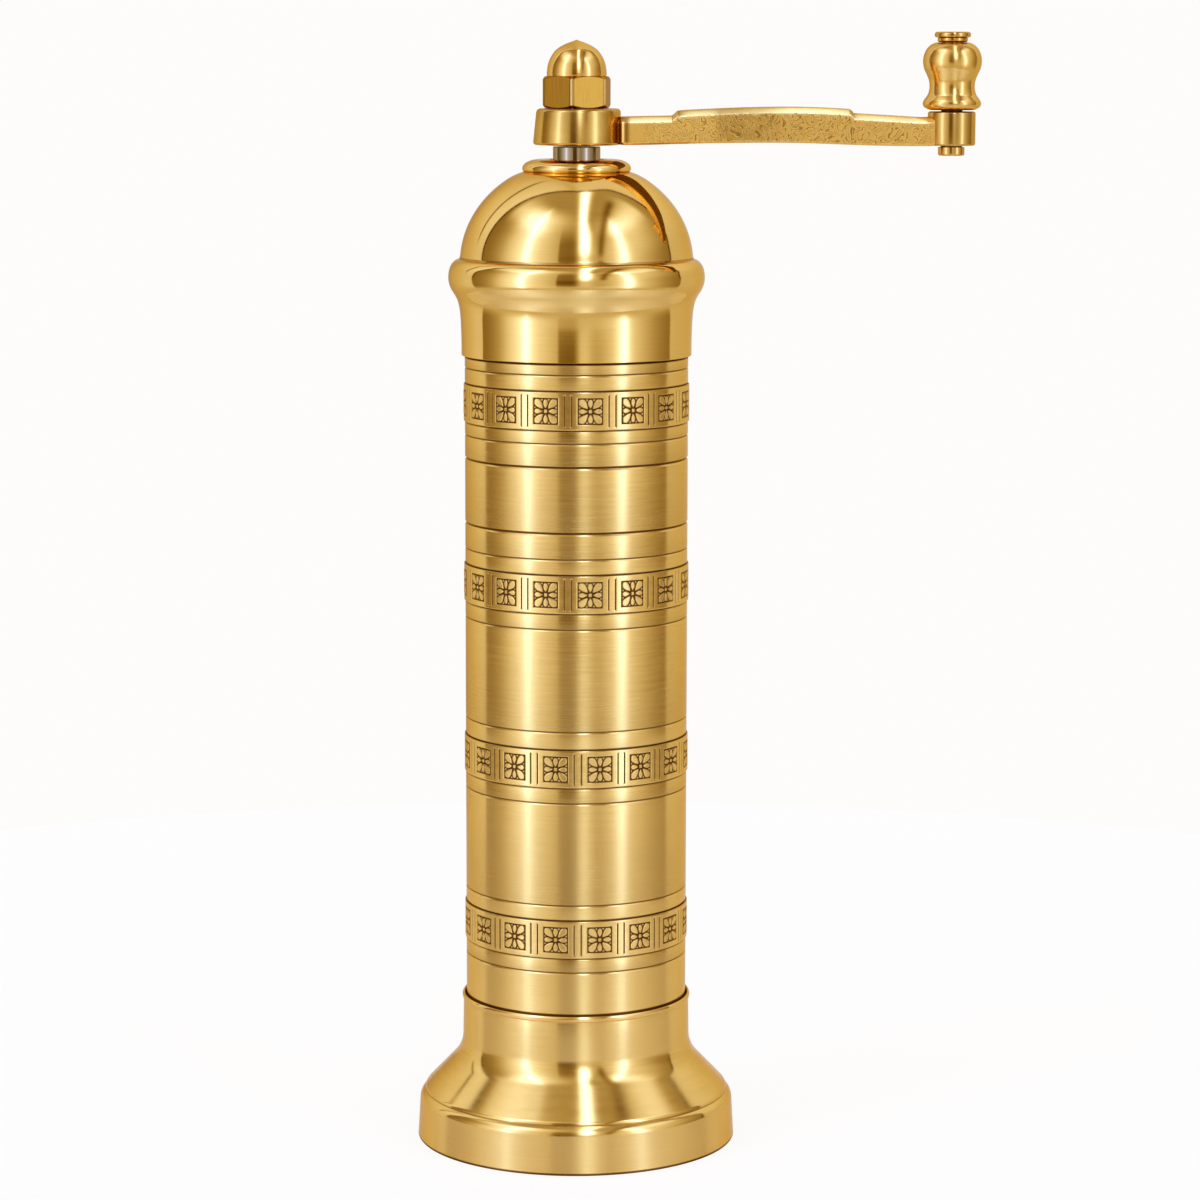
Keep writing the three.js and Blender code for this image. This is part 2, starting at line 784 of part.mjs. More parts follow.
// Acorn nut: a hexagon with a domed, closed end, tapped for the spindle's thread.
function acornNut() {
  const insideHexagon = nutBottom + nutHexHeight / 2;
  const tip = nutHexTop + nutDomeHeight;
  const dome = [
    [0, insideHexagon],
    [nutDomeRadius, insideHexagon],
    ...arc(0, nutHexTop, nutDomeRadius, nutDomeHeight, 0, nutDomeTo, nutDomeFacets),
    [nutTipRadius, tip],
    [0, tip],
  ];
  const bore = rod(threadHole, nutBottom - cutPast, nutBottom + nutThreadDepth, pinSides);
  const made = hexagonPrism(nutAcrossFlats, nutBottom, nutHexTop, nutChamfer)
    .add(solid(turned(dome, smallSides)))
    .subtract(solid(bore));
  return geometryOf(made).rotateZ(-Math.PI / 2 + nutTurn);
}

// Each tooth rises from its root to its tip over its facets, and the teeth lean from ring to ring.
function toothDepth(segment, ringIndex) {
  const place = (segment + ringIndex) % burrToothSteps;
  return (burrBite * place) / (burrToothSteps - 1);
}

// moves the points of a turned piece in or out, where the outline's points from first to last carry teeth
function cutTeeth(geometry, outlineLength, first, last, inward) {
  const place = geometry.attributes.position;
  for (let index = 0; index < place.count; index += 1) {
    const segment = Math.floor(index / outlineLength) % (burrTeeth * burrToothSteps);
    const point = index % outlineLength;
    if (point >= first && point <= last) {
      const x = place.getX(index);
      const y = place.getY(index);
      const radius = Math.hypot(x, y);
      const scale = 1 + ((inward ? -1 : 1) * toothDepth(segment, point - first)) / radius;
      place.setXY(index, x * scale, y * scale);
    }
  }
  return geometry;
}

// Inner burr: a toothed steel cone, squared to the spindle, widest at the bottom.
function innerBurr() {
  const outline = [[0, burrBottom]];
  for (let step = 0; step <= burrRings; step += 1) {
    const share = step / burrRings;
    const radius = burrBottomRadius + share * (burrTopRadius - burrBottomRadius);
    outline.push([radius, burrBottom + share * burrHeight]);
  }
  outline.push([0, burrTop]);
  const cone = cutTeeth(
    turned(outline, burrTeeth * burrToothSteps), outline.length, 1, burrRings + 1, true,
  );
  return geometryOf(solid(cone).subtract(squareHole(burrBottom, burrTop)));
}

// Outer burr: a steel ring toothed inside, with a hopper mouth above, screwed to the foot's ledge.
function outerBurr() {
  const toothBottom = burrBottom - burrRingLip;
  const outline = [
    [ledgeBore, seatHeight],
    [burrRingRadius, seatHeight],
    [burrRingRadius, burrRingTop],
    [burrRingRadius - burrRingLip, burrRingTop],
  ];
  const first = outline.length;
  const bottomRadius = burrBottomRadius + burrGapBottom;
  const topRadius = burrTopRadius + burrGapTop;
  for (let step = burrRings; step >= 0; step -= 1) {
    const share = step / burrRings;
    const radius = bottomRadius + share * (topRadius - bottomRadius);
    outline.push([radius, toothBottom + share * (burrTop - toothBottom)]);
  }
  outline.push([ledgeBore, toothBottom - burrRingLip]);
  const toothed = cutTeeth(
    turned(outline, burrTeeth * burrToothSteps), outline.length + 1, first, first + burrRings, false,
  );
  const holeTop = seatHeight + bridgeScrewGrip + holeGap;
  return geometryOf(drilledForScrews(solid(toothed), seatHeight - cutPast, holeTop));
}

// Burr nut: holds the inner burr on the spindle's lower thread.
function burrNut() {
  const top = burrNutBottom + burrNutThickness;
  const bore = rod(threadHole, burrNutBottom - cutPast, top + cutPast, pinSides);
  const nut = hexagonPrism(burrNutAcrossFlats, burrNutBottom, top, smallNutChamfer);
  return geometryOf(nut.subtract(solid(bore)));
}

// Lower bridge: a brass bar across the foot's opening, tapped in the middle for the adjusting screw.
function lowerBridge() {
  const half = bridgeScrewCircle + lowerBridgeEnd;
  const below = lowerBridgeBottom - cutPast;
  const above = lowerBridgeTop + cutPast;
  const bar = solid(block(2 * half, lowerBridgeWidth, lowerBridgeBottom, lowerBridgeTop))
    .intersect(solid(rod(half, below, above, shellSides)))
    .subtract(solid(rod(adjusterRadius + holeGap, below, above, pinSides)));
  return geometryOf(drilledForScrews(bar, below, above));
}

// Bridge screw: goes up through the lower bridge and the foot's ledge into the burr ring.
function bridgeScrew() {
  const headTop = lowerBridgeBottom - seatGap;
  const headBottom = headTop - bridgeScrewHeadHeight;
  return turned(
    [
      [0, headBottom],
      [bridgeScrewHeadRadius - bridgeScrewHeadEase, headBottom],
      [bridgeScrewHeadRadius, headBottom + bridgeScrewHeadCrown],
      [bridgeScrewHeadRadius, headTop],
      [bridgeScrewRadius, headTop],
      [bridgeScrewRadius, seatHeight + bridgeScrewGrip],
      [0, seatHeight + bridgeScrewGrip],
    ],
    pinSides,
  );
}

// Adjusting screw: a fluted thumb head under the foot and a threaded shank with a cup for the ball.
function adjustingScrew() {
  // each flute has the two ends of its land and then its deepest line, half a pitch on
  const flutePoints = [
    [-thumbLand / 2, thumbRadius],
    [thumbLand / 2, thumbRadius],
    [1 / 2, thumbRadius - thumbFluteDepth],
  ];
  const rim = [];
  for (let flute = 0; flute < thumbFlutes; flute += 1) {
    for (const [offset, radius] of flutePoints) {
      const angle = ((flute + offset) * 2 * Math.PI) / thumbFlutes;
      rim.push([radius * Math.cos(angle), radius * Math.sin(angle)]);
    }
  }
  const head = solid(raised(polygon(rim), screwLift, thumbTop));
  const rounded = turned(
    [
      [0, screwLift],
      [thumbRadius - thumbEdge, screwLift],
      [thumbRadius, screwLift + thumbEdge],
      [thumbRadius, thumbTop - thumbEdge],
      [thumbRadius - thumbEdge, thumbTop],
      [0, thumbTop],
    ],
    thumbFlutes,
  );
  const made = head
    .intersect(solid(rounded))
    .add(solid(rod(adjusterRadius, thumbTop - thumbEdge, adjusterTip, pinSides)))
    .subtract(ballCup(adjusterTip - ballCupDepth + ballCupRadius));
  return geometryOf(made);
}

// Lock nut: jams the adjusting screw against the lower bridge.
function lockNut() {
  const bottom = lockNutTop - lockNutThickness;
  const bore = rod(adjusterRadius + holeGap, bottom - cutPast, lockNutTop + cutPast, pinSides);
  const nut = hexagonPrism(lockNutAcrossFlats, bottom, lockNutTop, smallNutChamfer);
  return geometryOf(nut.subtract(solid(bore)));
}

// The mill, from the foot up

piece("foot", foot(), turnedBrass);
piece("body_tube", bodyTube(), turnedBrass);
piece("dome_cap", domeCap(), brightBrass);

piece("adjusting_screw", adjustingScrew(), castBrass);
piece("lock_nut", lockNut(), castBrass);
piece("lower_bridge", lowerBridge(), castBrass);
for (const [name, side] of [["bridge_screw_right", 1], ["bridge_screw_left", -1]]) {
  piece(name, bridgeScrew(), steel).position.x = side * bridgeScrewCircle;
}
piece("thrust_ball", new THREE.SphereGeometry(ballRadius, pinSides, pinSides / 2), steel).position.z =
  ballCentre;

piece("outer_burr", outerBurr(), hardSteel);
piece("inner_burr", innerBurr(), hardSteel);
piece("burr_nut", burrNut(), steel);

piece("upper_bridge", upperBridge(), turnedBrass);
piece("upper_bush", upperBush(), castBrass);
piece("spring", spring(), steel);
piece(
  "spring_seat",
  ring(
    spindleBore,
    springSeatRadius,
    springSeatTop - springSeatThickness,
    springSeatTop,
    smallSides,
  ),
  steel,
);
piece("retaining_clip", retainingClip(), hardSteel);

piece("spindle", spindle(), steel);
piece(
  "spindle_sleeve",
  ring(spindleBore, sleeveRadius, sleeveTop - sleeveLength, sleeveTop, smallSides),
  steel,
);
piece("crank_arm", crankArm(), castBrass);
for (const [name, geometry] of [["knob_pin", knobPin()], ["crank_knob", crankKnob()]]) {
  piece(name, geometry, brightBrass).position.x = crankReach;
}
piece("acorn_nut", acornNut(), brightBrass);

console.log("spring, least gap between curls in mm:", springSelfGap().toFixed(3));

export default mill;
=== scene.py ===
import math

import bmesh
import bpy
import numpy as np
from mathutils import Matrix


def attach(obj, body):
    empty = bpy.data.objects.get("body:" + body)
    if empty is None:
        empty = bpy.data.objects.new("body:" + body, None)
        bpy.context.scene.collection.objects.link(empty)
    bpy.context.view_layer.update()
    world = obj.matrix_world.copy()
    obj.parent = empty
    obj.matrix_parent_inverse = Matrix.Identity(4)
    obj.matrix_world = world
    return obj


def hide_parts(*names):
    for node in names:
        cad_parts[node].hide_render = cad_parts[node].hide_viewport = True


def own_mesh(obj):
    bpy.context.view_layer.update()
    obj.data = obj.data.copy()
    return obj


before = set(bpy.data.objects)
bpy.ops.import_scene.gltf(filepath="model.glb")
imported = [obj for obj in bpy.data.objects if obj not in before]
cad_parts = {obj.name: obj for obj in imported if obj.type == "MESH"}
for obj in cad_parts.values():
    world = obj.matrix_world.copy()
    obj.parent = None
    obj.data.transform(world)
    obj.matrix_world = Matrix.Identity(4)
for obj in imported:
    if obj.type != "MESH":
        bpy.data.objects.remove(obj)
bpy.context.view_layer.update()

# Camera: level with the dome, 0.79 m in front of the mill, looking a little down at it.
# The crank points to the camera's right, along +X.
camera_place = (0.00473, -0.7881, 0.2263)
camera_dip = 8.136  # degrees below level
camera_roll = -0.094  # degrees
camera_lens = 115.0  # on the standard 36 mm sensor
nearest_seen = 0.02
camera_data = bpy.data.cameras.new("camera")
camera_data.lens = camera_lens
camera_data.clip_start = nearest_seen
camera = bpy.data.objects.new("camera", camera_data)
camera.location = camera_place
camera.rotation_euler = (math.radians(90 - camera_dip), math.radians(camera_roll), 0)
bpy.context.scene.collection.objects.link(camera)
bpy.context.scene.camera = camera
bpy.context.scene.view_settings.view_transform = "Standard"


# Studio light: a white surround with two tall softboxes left and right of the camera, a long strip
# light overhead, and darkness between them, which gives polished brass its contrast.
class Wire:
    """A socket in a node tree. Sums, products and powers of wires and numbers add Math nodes."""

    def __init__(self, bench, socket):
        self.bench = bench
        self.socket = socket

    def __add__(self, other):
        return self.bench.maths("ADD", self, other)

    def __radd__(self, other):
        return self.bench.maths("ADD", other, self)

    def __sub__(self, other):
        return self.bench.maths("SUBTRACT", self, other)

    def __rsub__(self, other):
        return self.bench.maths("SUBTRACT", other, self)

    def __mul__(self, other):
        return self.bench.maths("MULTIPLY", self, other)

    def __rmul__(self, other):
        return self.bench.maths("MULTIPLY", other, self)

    def __truediv__(self, other):
        return self.bench.maths("DIVIDE", self, other)

    def __pow__(self, other):
        return self.bench.maths("POWER", self, other)

    def __abs__(self):
        return self.bench.maths("ABSOLUTE", self)


class Bench:
    """The node tree of the studio or of one finish, emptied and ready to be wired."""

    def __init__(self, tree):
        tree.nodes.clear()
        self.tree = tree

    def node(self, kind, settings=None, sockets=None):
        """Adds a node: its settings first, then its sockets' values or wires. Gives its outputs."""
        made = self.tree.nodes.new(kind)
        for name, value in (settings or {}).items():
            setattr(made, name, value)
        for key, value in (sockets or {}).items():
            if isinstance(value, Wire):
                self.tree.links.new(value.socket, made.inputs[key])
            else:
                made.inputs[key].default_value = value
        return [Wire(self, output) for output in made.outputs]

    def maths(self, operation, *values):
        return self.node("ShaderNodeMath", {"operation": operation}, dict(enumerate(values)))[0]

    def parts(self, vector):
        """The x, y and z of a vector."""
        return self.node("ShaderNodeSeparateXYZ", {}, {"Vector": vector})

    def vector(self, x, y, z):
        return self.node("ShaderNodeCombineXYZ", {}, {0: x, 1: y, 2: z})[0]

    def ease(self, value, start, end):
        """0 before start, 1 after end, and a smooth step between."""
        limits = {"Value": value, "From Min": start, "From Max": end}
        return self.node("ShaderNodeMapRange", {"interpolation_type": "SMOOTHSTEP"}, limits)[0]

    def lobe(self, value, middle, width, level):
        """level * exp(-((value - middle) / width) ** 2), the soft bell of one lamp or one dark edge."""
        reach = (value - middle) / width
        return level * self.maths("EXPONENT", 0 - reach * reach)


def softboxes(bench, angle, height):
    """The two tall boxes: a wide bell each, with a hot core. The right one leans outwards as it rises."""
    left_width = 27 + bench.ease(angle, -85, -40) * 12
    left_box = bench.lobe(angle, -54, left_width, 0.84)
    left_core = bench.lobe(angle, -51, 8, 0.4) + bench.lobe(angle, -51, 3, 0.5)
    right_middle = 47.5 + bench.ease(height, 8, 40) * 11
    right_width = 28 + bench.ease(height, 6, 22) * 7 + bench.ease(angle, 44, 60) * 7
    right_box = bench.lobe(angle, right_middle, right_width, 0.66)
    right_core = bench.lobe(angle, 48, 8, 0.5) + bench.lobe(angle, 49, 4, 0.5)
    left_fades, right_fades = bench.ease(height, 72, 52), bench.ease(height, 62, 40)
    return (left_box + left_core) * left_fades + (right_box + right_core) * right_fades


def studio_level(bench, direction):
    """How bright the studio is in a direction: the sum of the lamps' bells over their angle from the
    camera's side (towards +X) and their height over the horizon, in degrees, times the dark edges
    between them. x, y and z are the direction's own parts, with the camera towards -y."""
    x, y, z = bench.parts(direction)
    angle = bench.maths("DEGREES", bench.maths("ARCTAN2", x, 0 - y))
    height = bench.maths("DEGREES", bench.maths("ARCSINE", z))
    high_up = bench.ease(height, 34, 58)
    low_down = bench.ease(height, -7, -12)

    upper_sides = bench.lobe(abs(x), 0.62, 0.18, 0.5) * bench.ease(height, 30, 48) * bench.ease(y, 0.22, 0.08)
    low_strip = bench.lobe(angle, 8, 9, 0.38) * bench.ease(height, 60, 30) * (1 - low_down * 0.75)
    low_strip = low_strip + low_down * bench.lobe(angle, 6, 26, 0.22)
    ceiling = 0.25 + bench.ease(height, 35, 62) * 0.17
    strip_ends = bench.ease(height, 3, 26) * bench.ease(y, 0.4, 0.1)
    overhead_strip = bench.lobe(x, 0.14 - high_up * 0.04, 0.08 - high_up * 0.022, 1.9) * strip_ends

    gap = bench.ease(angle, -19, -16.5) * bench.ease(angle, 5, -3) * bench.ease(height, 52, 24)
    gap = gap * (1 - low_down * 0.7) * (1 + bench.lobe(height, 3, 7, 0.4))
    seam = bench.lobe(x, 0.4, 0.055, 0.62) * bench.ease(height, 6, 18) * bench.ease(y, 0.1, -0.1)
    lamps_in_front = ceiling + softboxes(bench, angle, height) + low_strip + upper_sides
    front = lamps_in_front * (1 - gap * 0.5) * (1 - seam) + overhead_strip

    angle_behind = bench.maths("DEGREES", bench.maths("ARCTAN2", x, y))
    surround = 0.66 + bench.ease(height, 5, 32) * 0.13
    surround = surround - bench.lobe(angle_behind, -14, 16, 0.16) + bench.lobe(angle_behind, -66, 16, 0.12)
    edge = y - abs(x) * 0.2 - bench.ease(height, 8, 30) * bench.ease(x, 0.1, 0.35) * 0.11
    in_front = bench.ease(edge, 0.125, 0.085)
    dark_frame = bench.lobe(edge, 0.1, 0.018, 0.95) * bench.ease(height, -3, 8)
    side_frame = bench.lobe(y, 0.5, 0.017, 0.85) * bench.ease(x, -0.15, -0.4) * bench.ease(height, 8, 20)
    room = (surround + in_front * (front - surround)) * (1 - dark_frame) * (1 - side_frame)
    floor_level = 0.62
    towards_floor = bench.ease(height, -12, -26)
    return room + towards_floor * (floor_level - room)


middle_level = 0.66  # where the light is white; above it turns bluer and below it yellower
green_power, blue_power, bluest = 0.33, 1.25, 3.0
backdrop_colour = (0.982, 0.973, 0.956, 1)
studio = bpy.data.worlds.new("studio")
studio.use_nodes = True
bpy.context.scene.world = studio
bench = Bench(studio.node_tree)
level = studio_level(bench, bench.node("ShaderNodeTexCoord")[0])
green = level * (level / middle_level) ** green_power
blue = level * bench.maths("MINIMUM", (level / middle_level) ** blue_power, bluest)
lamps = bench.node("ShaderNodeBackground", {}, {"Color": bench.vector(level, green, blue)})[0]
backdrop = bench.node("ShaderNodeBackground", {}, {"Color": backdrop_colour})[0]
from_camera = bench.node("ShaderNodeLightPath")[0]
shown = bench.node("ShaderNodeMixShader", {}, {0: from_camera, 1: lamps, 2: backdrop})[0]
bench.node("ShaderNodeOutputWorld", {}, {"Surface": shown})


# Table: a round white board. Its upper disc is what the camera sees, and the one just below is what
# the brass mirrors and what lights it from below.
board_radius = 0.36
board_drop = 0.00005
board_sides = 96


def disc(name, radius, height):
    """A flat round plate: radius * (cos, sin) of evenly spaced angles."""
    turn = np.linspace(0, 2 * math.pi, board_sides, endpoint=False)
    rim = np.stack([radius * np.cos(turn), radius * np.sin(turn), np.full(board_sides, height)], 1)
    mesh = bpy.data.meshes.new(name)
    mesh.from_pydata(rim.tolist(), [], [list(range(board_sides))])
    made = bpy.data.objects.new(name, mesh)
    bpy.context.scene.collection.objects.link(made)
    return made


def board_finish(name, diffuse, glow, shine):
    """White board: a diffuse share that takes shadows, an even glow that keeps it pale and a share of
    gloss. Seen from below it lets the camera through."""
    seen_from_behind = 6  # output of the Geometry node
    material = bpy.data.materials.new(name)
    material.use_nodes = True
    bench = Bench(material.node_tree)
    matt = bench.node("ShaderNodeBsdfDiffuse", {}, {"Color": diffuse})[0]
    light = bench.node("ShaderNodeEmission", {}, {"Color": glow})[0]
    board = bench.node("ShaderNodeAddShader", {}, {0: matt, 1: light})[0]
    gloss = bench.node("ShaderNodeBsdfAnisotropic", {}, {"Color": (1, 1, 1, 1), "Roughness": 0.35})[0]
    board = bench.node("ShaderNodeMixShader", {}, {0: shine, 1: board, 2: gloss})[0]
    clear = bench.node("ShaderNodeBsdfTransparent")[0]
    below = bench.node("ShaderNodeNewGeometry")[seen_from_behind]
    either = bench.node("ShaderNodeMixShader", {}, {0: below, 1: board, 2: clear})[0]
    bench.node("ShaderNodeOutputMaterial", {}, {"Surface": either})
    return material


seen_paint, seen_glow = (0.12, 0.12, 0.12, 1), (0.897, 0.878, 0.838, 1)
seen_board = disc("seen_board", board_radius, 0)
seen_board.data.materials.append(board_finish("board_seen", seen_paint, seen_glow, 0.0))
seen_board.visible_glossy = False
seen_board.visible_diffuse = False
seen_board.visible_shadow = False
lit_paint, lit_glow = (0.77, 0.715, 0.63, 1), (0.08, 0.075, 0.066, 1)
lit_board = disc("lit_board", board_radius, -board_drop)
lit_board.data.materials.append(board_finish("board_lit", lit_paint, lit_glow, 0.43))
lit_board.visible_camera = False


# Foot: a cast brass bell, turned all over. A standing ring, a band, a rounded shoulder with a crease
# above it, a cone and a neck that holds the tube; inside, a ledge carries the tube and the burrs.
millimetre = 0.001
smooth_below = math.radians(32)
corner_steps = 7


def rounded(corners, steps=corner_steps):
    """An outline through [radius, height, easing] corners. Each corner becomes an arc of that radius,
    tangent to both sides: it starts easing / tan(half the corner's angle) before the corner, and its
    points turn evenly about the arc's middle."""
    corners = np.array(corners, float)
    place, easing = corners[:, :2], corners[:, 2]
    before = np.roll(place, 1, 0) - place
    after = np.roll(place, -1, 0) - place
    length_before = np.maximum(np.linalg.norm(before, axis=1), 1e-9)
    length_after = np.maximum(np.linalg.norm(after, axis=1), 1e-9)
    before = before / length_before[:, None]
    after = after / length_after[:, None]
    half = np.arccos(np.clip((before * after).sum(1), -0.99999, 0.99999)) / 2
    reach = np.minimum(easing / np.tan(half), 0.49 * np.minimum(length_before, length_after))
    inwards = (before + after) / np.linalg.norm(before + after + 1e-12, axis=1)[:, None]
    middle = place + inwards * (reach / np.cos(half))[:, None]
    start = place + before * reach[:, None] - middle
    end = place + after * reach[:, None] - middle
    turn = (math.pi - 2 * half)[:, None, None]
    share = np.linspace(0, 1, steps)[None, :, None]
    blend = np.sin((1 - share) * turn) * start[:, None] + np.sin(share * turn) * end[:, None]
    return (middle[:, None] + blend / np.sin(turn)).reshape(-1, 2)


def arc(radius, height, wide, high, start, end, steps=16):
    """Points of an ellipse about (radius, height): wide * cos and high * sin of evenly spaced angles,
    in degrees from the outward direction."""
    turn = np.radians(np.linspace(start, end, steps))
    return np.stack([radius + wide * np.cos(turn), height + high * np.sin(turn)], 1)


def skin(name, points, attributes=None, closed_rows=True):
    """A mesh over a grid of points in millimetres: each row is a closed ring, and the last row joins
    the first unless the surface ends in poles. Points that meet, as at a pole, become one."""
    rows, columns = points.shape[:2]
    row = np.arange(rows if closed_rows else rows - 1)[:, None]
    column = np.arange(columns)[None, :]
    next_row = (row + 1) % rows
    next_column = (column + 1) % columns
    corners = [row * columns + column, row * columns + next_column]
    corners += [next_row * columns + next_column, next_row * columns + column]
    faces = np.stack(np.broadcast_arrays(*corners), -1).reshape(-1, 4).astype(np.int32)
    mesh = bpy.data.meshes.new(name)
    mesh.vertices.add(rows * columns)
    mesh.vertices.foreach_set("co", (points.reshape(-1) * millimetre).astype(np.float32))
    mesh.loops.add(faces.size)
    mesh.loops.foreach_set("vertex_index", faces.ravel())
    mesh.polygons.add(len(faces))
    mesh.polygons.foreach_set("loop_start", np.arange(0, faces.size, 4, dtype=np.int32))
    for key, values in (attributes or {}).items():
        spread = np.broadcast_to(values, (rows, columns)).astype(np.float32)
        mesh.attributes.new(key, "FLOAT", "POINT").data.foreach_set("value", spread.ravel())
    mesh.update()
    mesh.validate()
    merged = bmesh.new()
    merged.from_mesh(mesh)
    bmesh.ops.remove_doubles(merged, verts=merged.verts, dist=2e-7)
    bmesh.ops.dissolve_degenerate(merged, edges=merged.edges, dist=1e-8)
    bmesh.ops.recalc_face_normals(merged, faces=merged.faces)
    merged.to_mesh(mesh)
    merged.free()
    mesh.shade_smooth()
    mesh.set_sharp_from_angle(angle=smooth_below)
    made = bpy.data.objects.new(name, mesh)
    bpy.context.scene.collection.objects.link(made)
    return made


def turned(name, outline, sides=224, axis=0.0, painted_shade_and_blackening=None, swell=0):
    """A closed outline of [radius, height] points turned about a vertical axis at x = axis:
    (axis + radius * sin(angle), -radius * cos(angle), height). swell is how much farther out the rows
    lie towards +x, fading as sin(angle) ** 2."""
    outline = np.array(outline, float)
    turn = np.linspace(0, 2 * math.pi, sides, endpoint=False)[None, :]
    radius, height = outline[:, :1], outline[:, 1:2]
    radius = radius + np.reshape(swell, (-1, 1)) * np.clip(np.sin(turn), 0, 1) ** 2
    points = np.stack([axis + radius * np.sin(turn), -radius * np.cos(turn), height + 0 * turn], -1)
    extra = {} if painted_shade_and_blackening is None else {"painted_shade_and_blackening": np.array(painted_shade_and_blackening, float)[:, None]}
    return skin(name, points, extra)


def new_finish(name):
    """A new material and its bench."""
    material = bpy.data.materials.new(name)
    material.use_nodes = True
    return material, Bench(material.node_tree)


def place_on(bench):
    """Where a point of the surface lies, in metres from the mill's middle at the table."""
    object_place = 3  # output of the Texture Coordinate node
    return bench.node("ShaderNodeTexCoord")[object_place]


def noise(bench, place, size, detail, rough=0.5, winding=0.0):
    """A cloud of soft noise from 0 to 1. The larger size is, the smaller are its blots."""
    sockets = {"Vector": place, "Scale": size, "Detail": detail, "Roughness": rough, "Distortion": winding}
    return bench.node("ShaderNodeTexNoise", {}, sockets)[0]


def marked(bench, name):
    """How far a point of the mesh is marked under that name, from 0 to 1."""
    share = 2  # output of the Attribute node
    return bench.node("ShaderNodeAttribute", {"attribute_name": name})[share]


def mixed(bench, share, first, second, kind="MIX"):
    """The colour that lies that share of the way from the first to the second."""
    first_colour, second_colour, result = 6, 7, 2  # inputs and output of the Mix node
    sockets = {0: share}
    for key, colour in ((first_colour, first), (second_colour, second)):
        sockets[key] = colour if isinstance(colour, Wire) else (*colour, 1)
    return bench.node("ShaderNodeMix", {"data_type": "RGBA", "blend_type": kind}, sockets)[result]


def shaded(bench, colour, shade):
    """A colour times a brightness that varies over the surface."""
    return mixed(bench, 1.0, colour, bench.vector(shade, shade, shade), "MULTIPLY")


def bumped(bench, height, strength, depth):
    """The surface's normal, tilted by a relief of that depth in metres."""
    sockets = {"Strength": strength, "Distance": depth, "Height": height}
    return bench.node("ShaderNodeBump", {}, sockets)[0]


brass_edge = (0.95, 0.74, 0.45)
scratch_depth = 0.00002
across_rings = 0.25  # of a turn: the gloss is blurred across the lathe's rings


def metal(bench, colour, roughness, normal, gloss=0.0, blur_turn=0.0, edge=brass_edge):
    """Ends a finish as bare metal. gloss is how much longer its highlights are one way than the other,
    and edge tints what it mirrors at a glancing angle."""
    sockets = {
        "Base Color": colour, "Roughness": roughness, "Normal": normal, "Metallic": 1.0,
        "Specular Tint": (*edge, 1), "Anisotropic": gloss, "Anisotropic Rotation": blur_turn,
    }
    surface = bench.node("ShaderNodeBsdfPrincipled", {}, sockets)[0]
    bench.node("ShaderNodeOutputMaterial", {}, {"Surface": surface})


# The dark brown of the painted shade in gaps, creases, grooves and hidden faces.
painted_shade_brown = (0.19, 0.068, 0.008)
turns_of_noise = 2.2  # how fast the streaks change round the axis


def tooled_brass(name, colour, rough, streaks=0.5, gloss=0.75, axis=0.0, pitch=0.35):
    """Brass with the rings that a lathe tool and emery leave: noise that is long round the axis and
    short across it, pitch millimetres a ring, moves colour, roughness and bump. A painted shade turns
    the colour dark brown and rougher where the piece is marked: in its gaps, creases, grooves and
    hidden faces."""
    material, bench = new_finish(name)
    place = place_on(bench)
    x, y, z = bench.parts(place)
    x = x - axis * millimetre
    radius = (x * x + y * y) ** 0.5
    across = (z + radius * 0.83) / (pitch * millimetre)
    ring = bench.vector(x / radius * turns_of_noise, y / radius * turns_of_noise, across)
    fine = noise(bench, ring, 1.0, 4.0, rough=0.7)
    cloud = noise(bench, place, 120.0, 3.0, rough=0.6)
    painted_shade_and_blackening = marked(bench, "painted_shade_and_blackening")
    shade = 1 + (fine - 0.5) * (0.24 * streaks) + (cloud - 0.5) * 0.14
    # Painted shade: the colour goes dark brown where the piece is marked.
    shown = mixed(bench, painted_shade_and_blackening, shaded(bench, colour, shade), painted_shade_brown)
    roughness = rough + (fine - 0.5) * (0.16 * streaks) + (cloud - 0.5) * 0.06 + painted_shade_and_blackening * 0.25
    normal = bumped(bench, fine, 0.25 * streaks, scratch_depth)
    metal(bench, shown, roughness, normal, gloss, across_rings)
    return material


def fitted(piece, finish, body, slot, *nodes):
    """Gives a piece its finish and its body, and hides the CAD nodes that it stands for; slot is not used."""
    piece.data.materials.append(finish)
    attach(piece, body)
    if nodes:
        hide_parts(*nodes)
    return piece


brass_colour = (0.935, 0.572, 0.148)
foot_radius = 33.3
foot_inside = 30.2
band_top = 7.9
ledge_bottom, ledge_top = 13.9, 16.3
neck_bore = 23.02
foot_satin = tooled_brass("foot_satin", brass_colour, rough=0.14, streaks=0.9, gloss=0.84)
ring_and_band = rounded([
    [foot_inside, 0, 0.3], [foot_radius, 0, 0.3], [32.85, band_top, 0], [29, band_top, 0], [29, 2, 0],
])
standing_edge = np.concatenate([ring_and_band[:2 * corner_steps], [[33.275, 0.44], [33.265, 0.62]]])
shoulder_roll = arc(30.5, band_top, 2.35, 2.35, 0, 58, 14)
crease_height = 10.05
crease = [[31.62, 10.0], [31.6, 10.1], [31.7, 10.25]]
cone_round = arc(30.45, 10.0, 1.3, 1.3, 24, 45, 6)
cone_fillet = arc(31.6, 22.05, 7.85, 7.85, 224.5, 180, 18)
rim_and_inside = rounded([
    [23.6, 29.55, 0.15], [23.84, 29.75, 0.15], [23.88, 30.35, 0.3], [23.62, 30.78, 0.2],
    [23.38, 30.7, 0.1], [23.06, 30.2, 0.1], [neck_bore, ledge_top, 0], [17, ledge_top, 0.2],
    [17, ledge_bottom, 0.2], [25.2, ledge_bottom, 1.2], [27.8, 11.5, 1.2], [foot_inside, 3.9, 2.5],
])
foot_line = np.concatenate([standing_edge, shoulder_roll, crease, cone_round, cone_fillet, rim_and_inside])
foot_reach, foot_height = foot_line.T
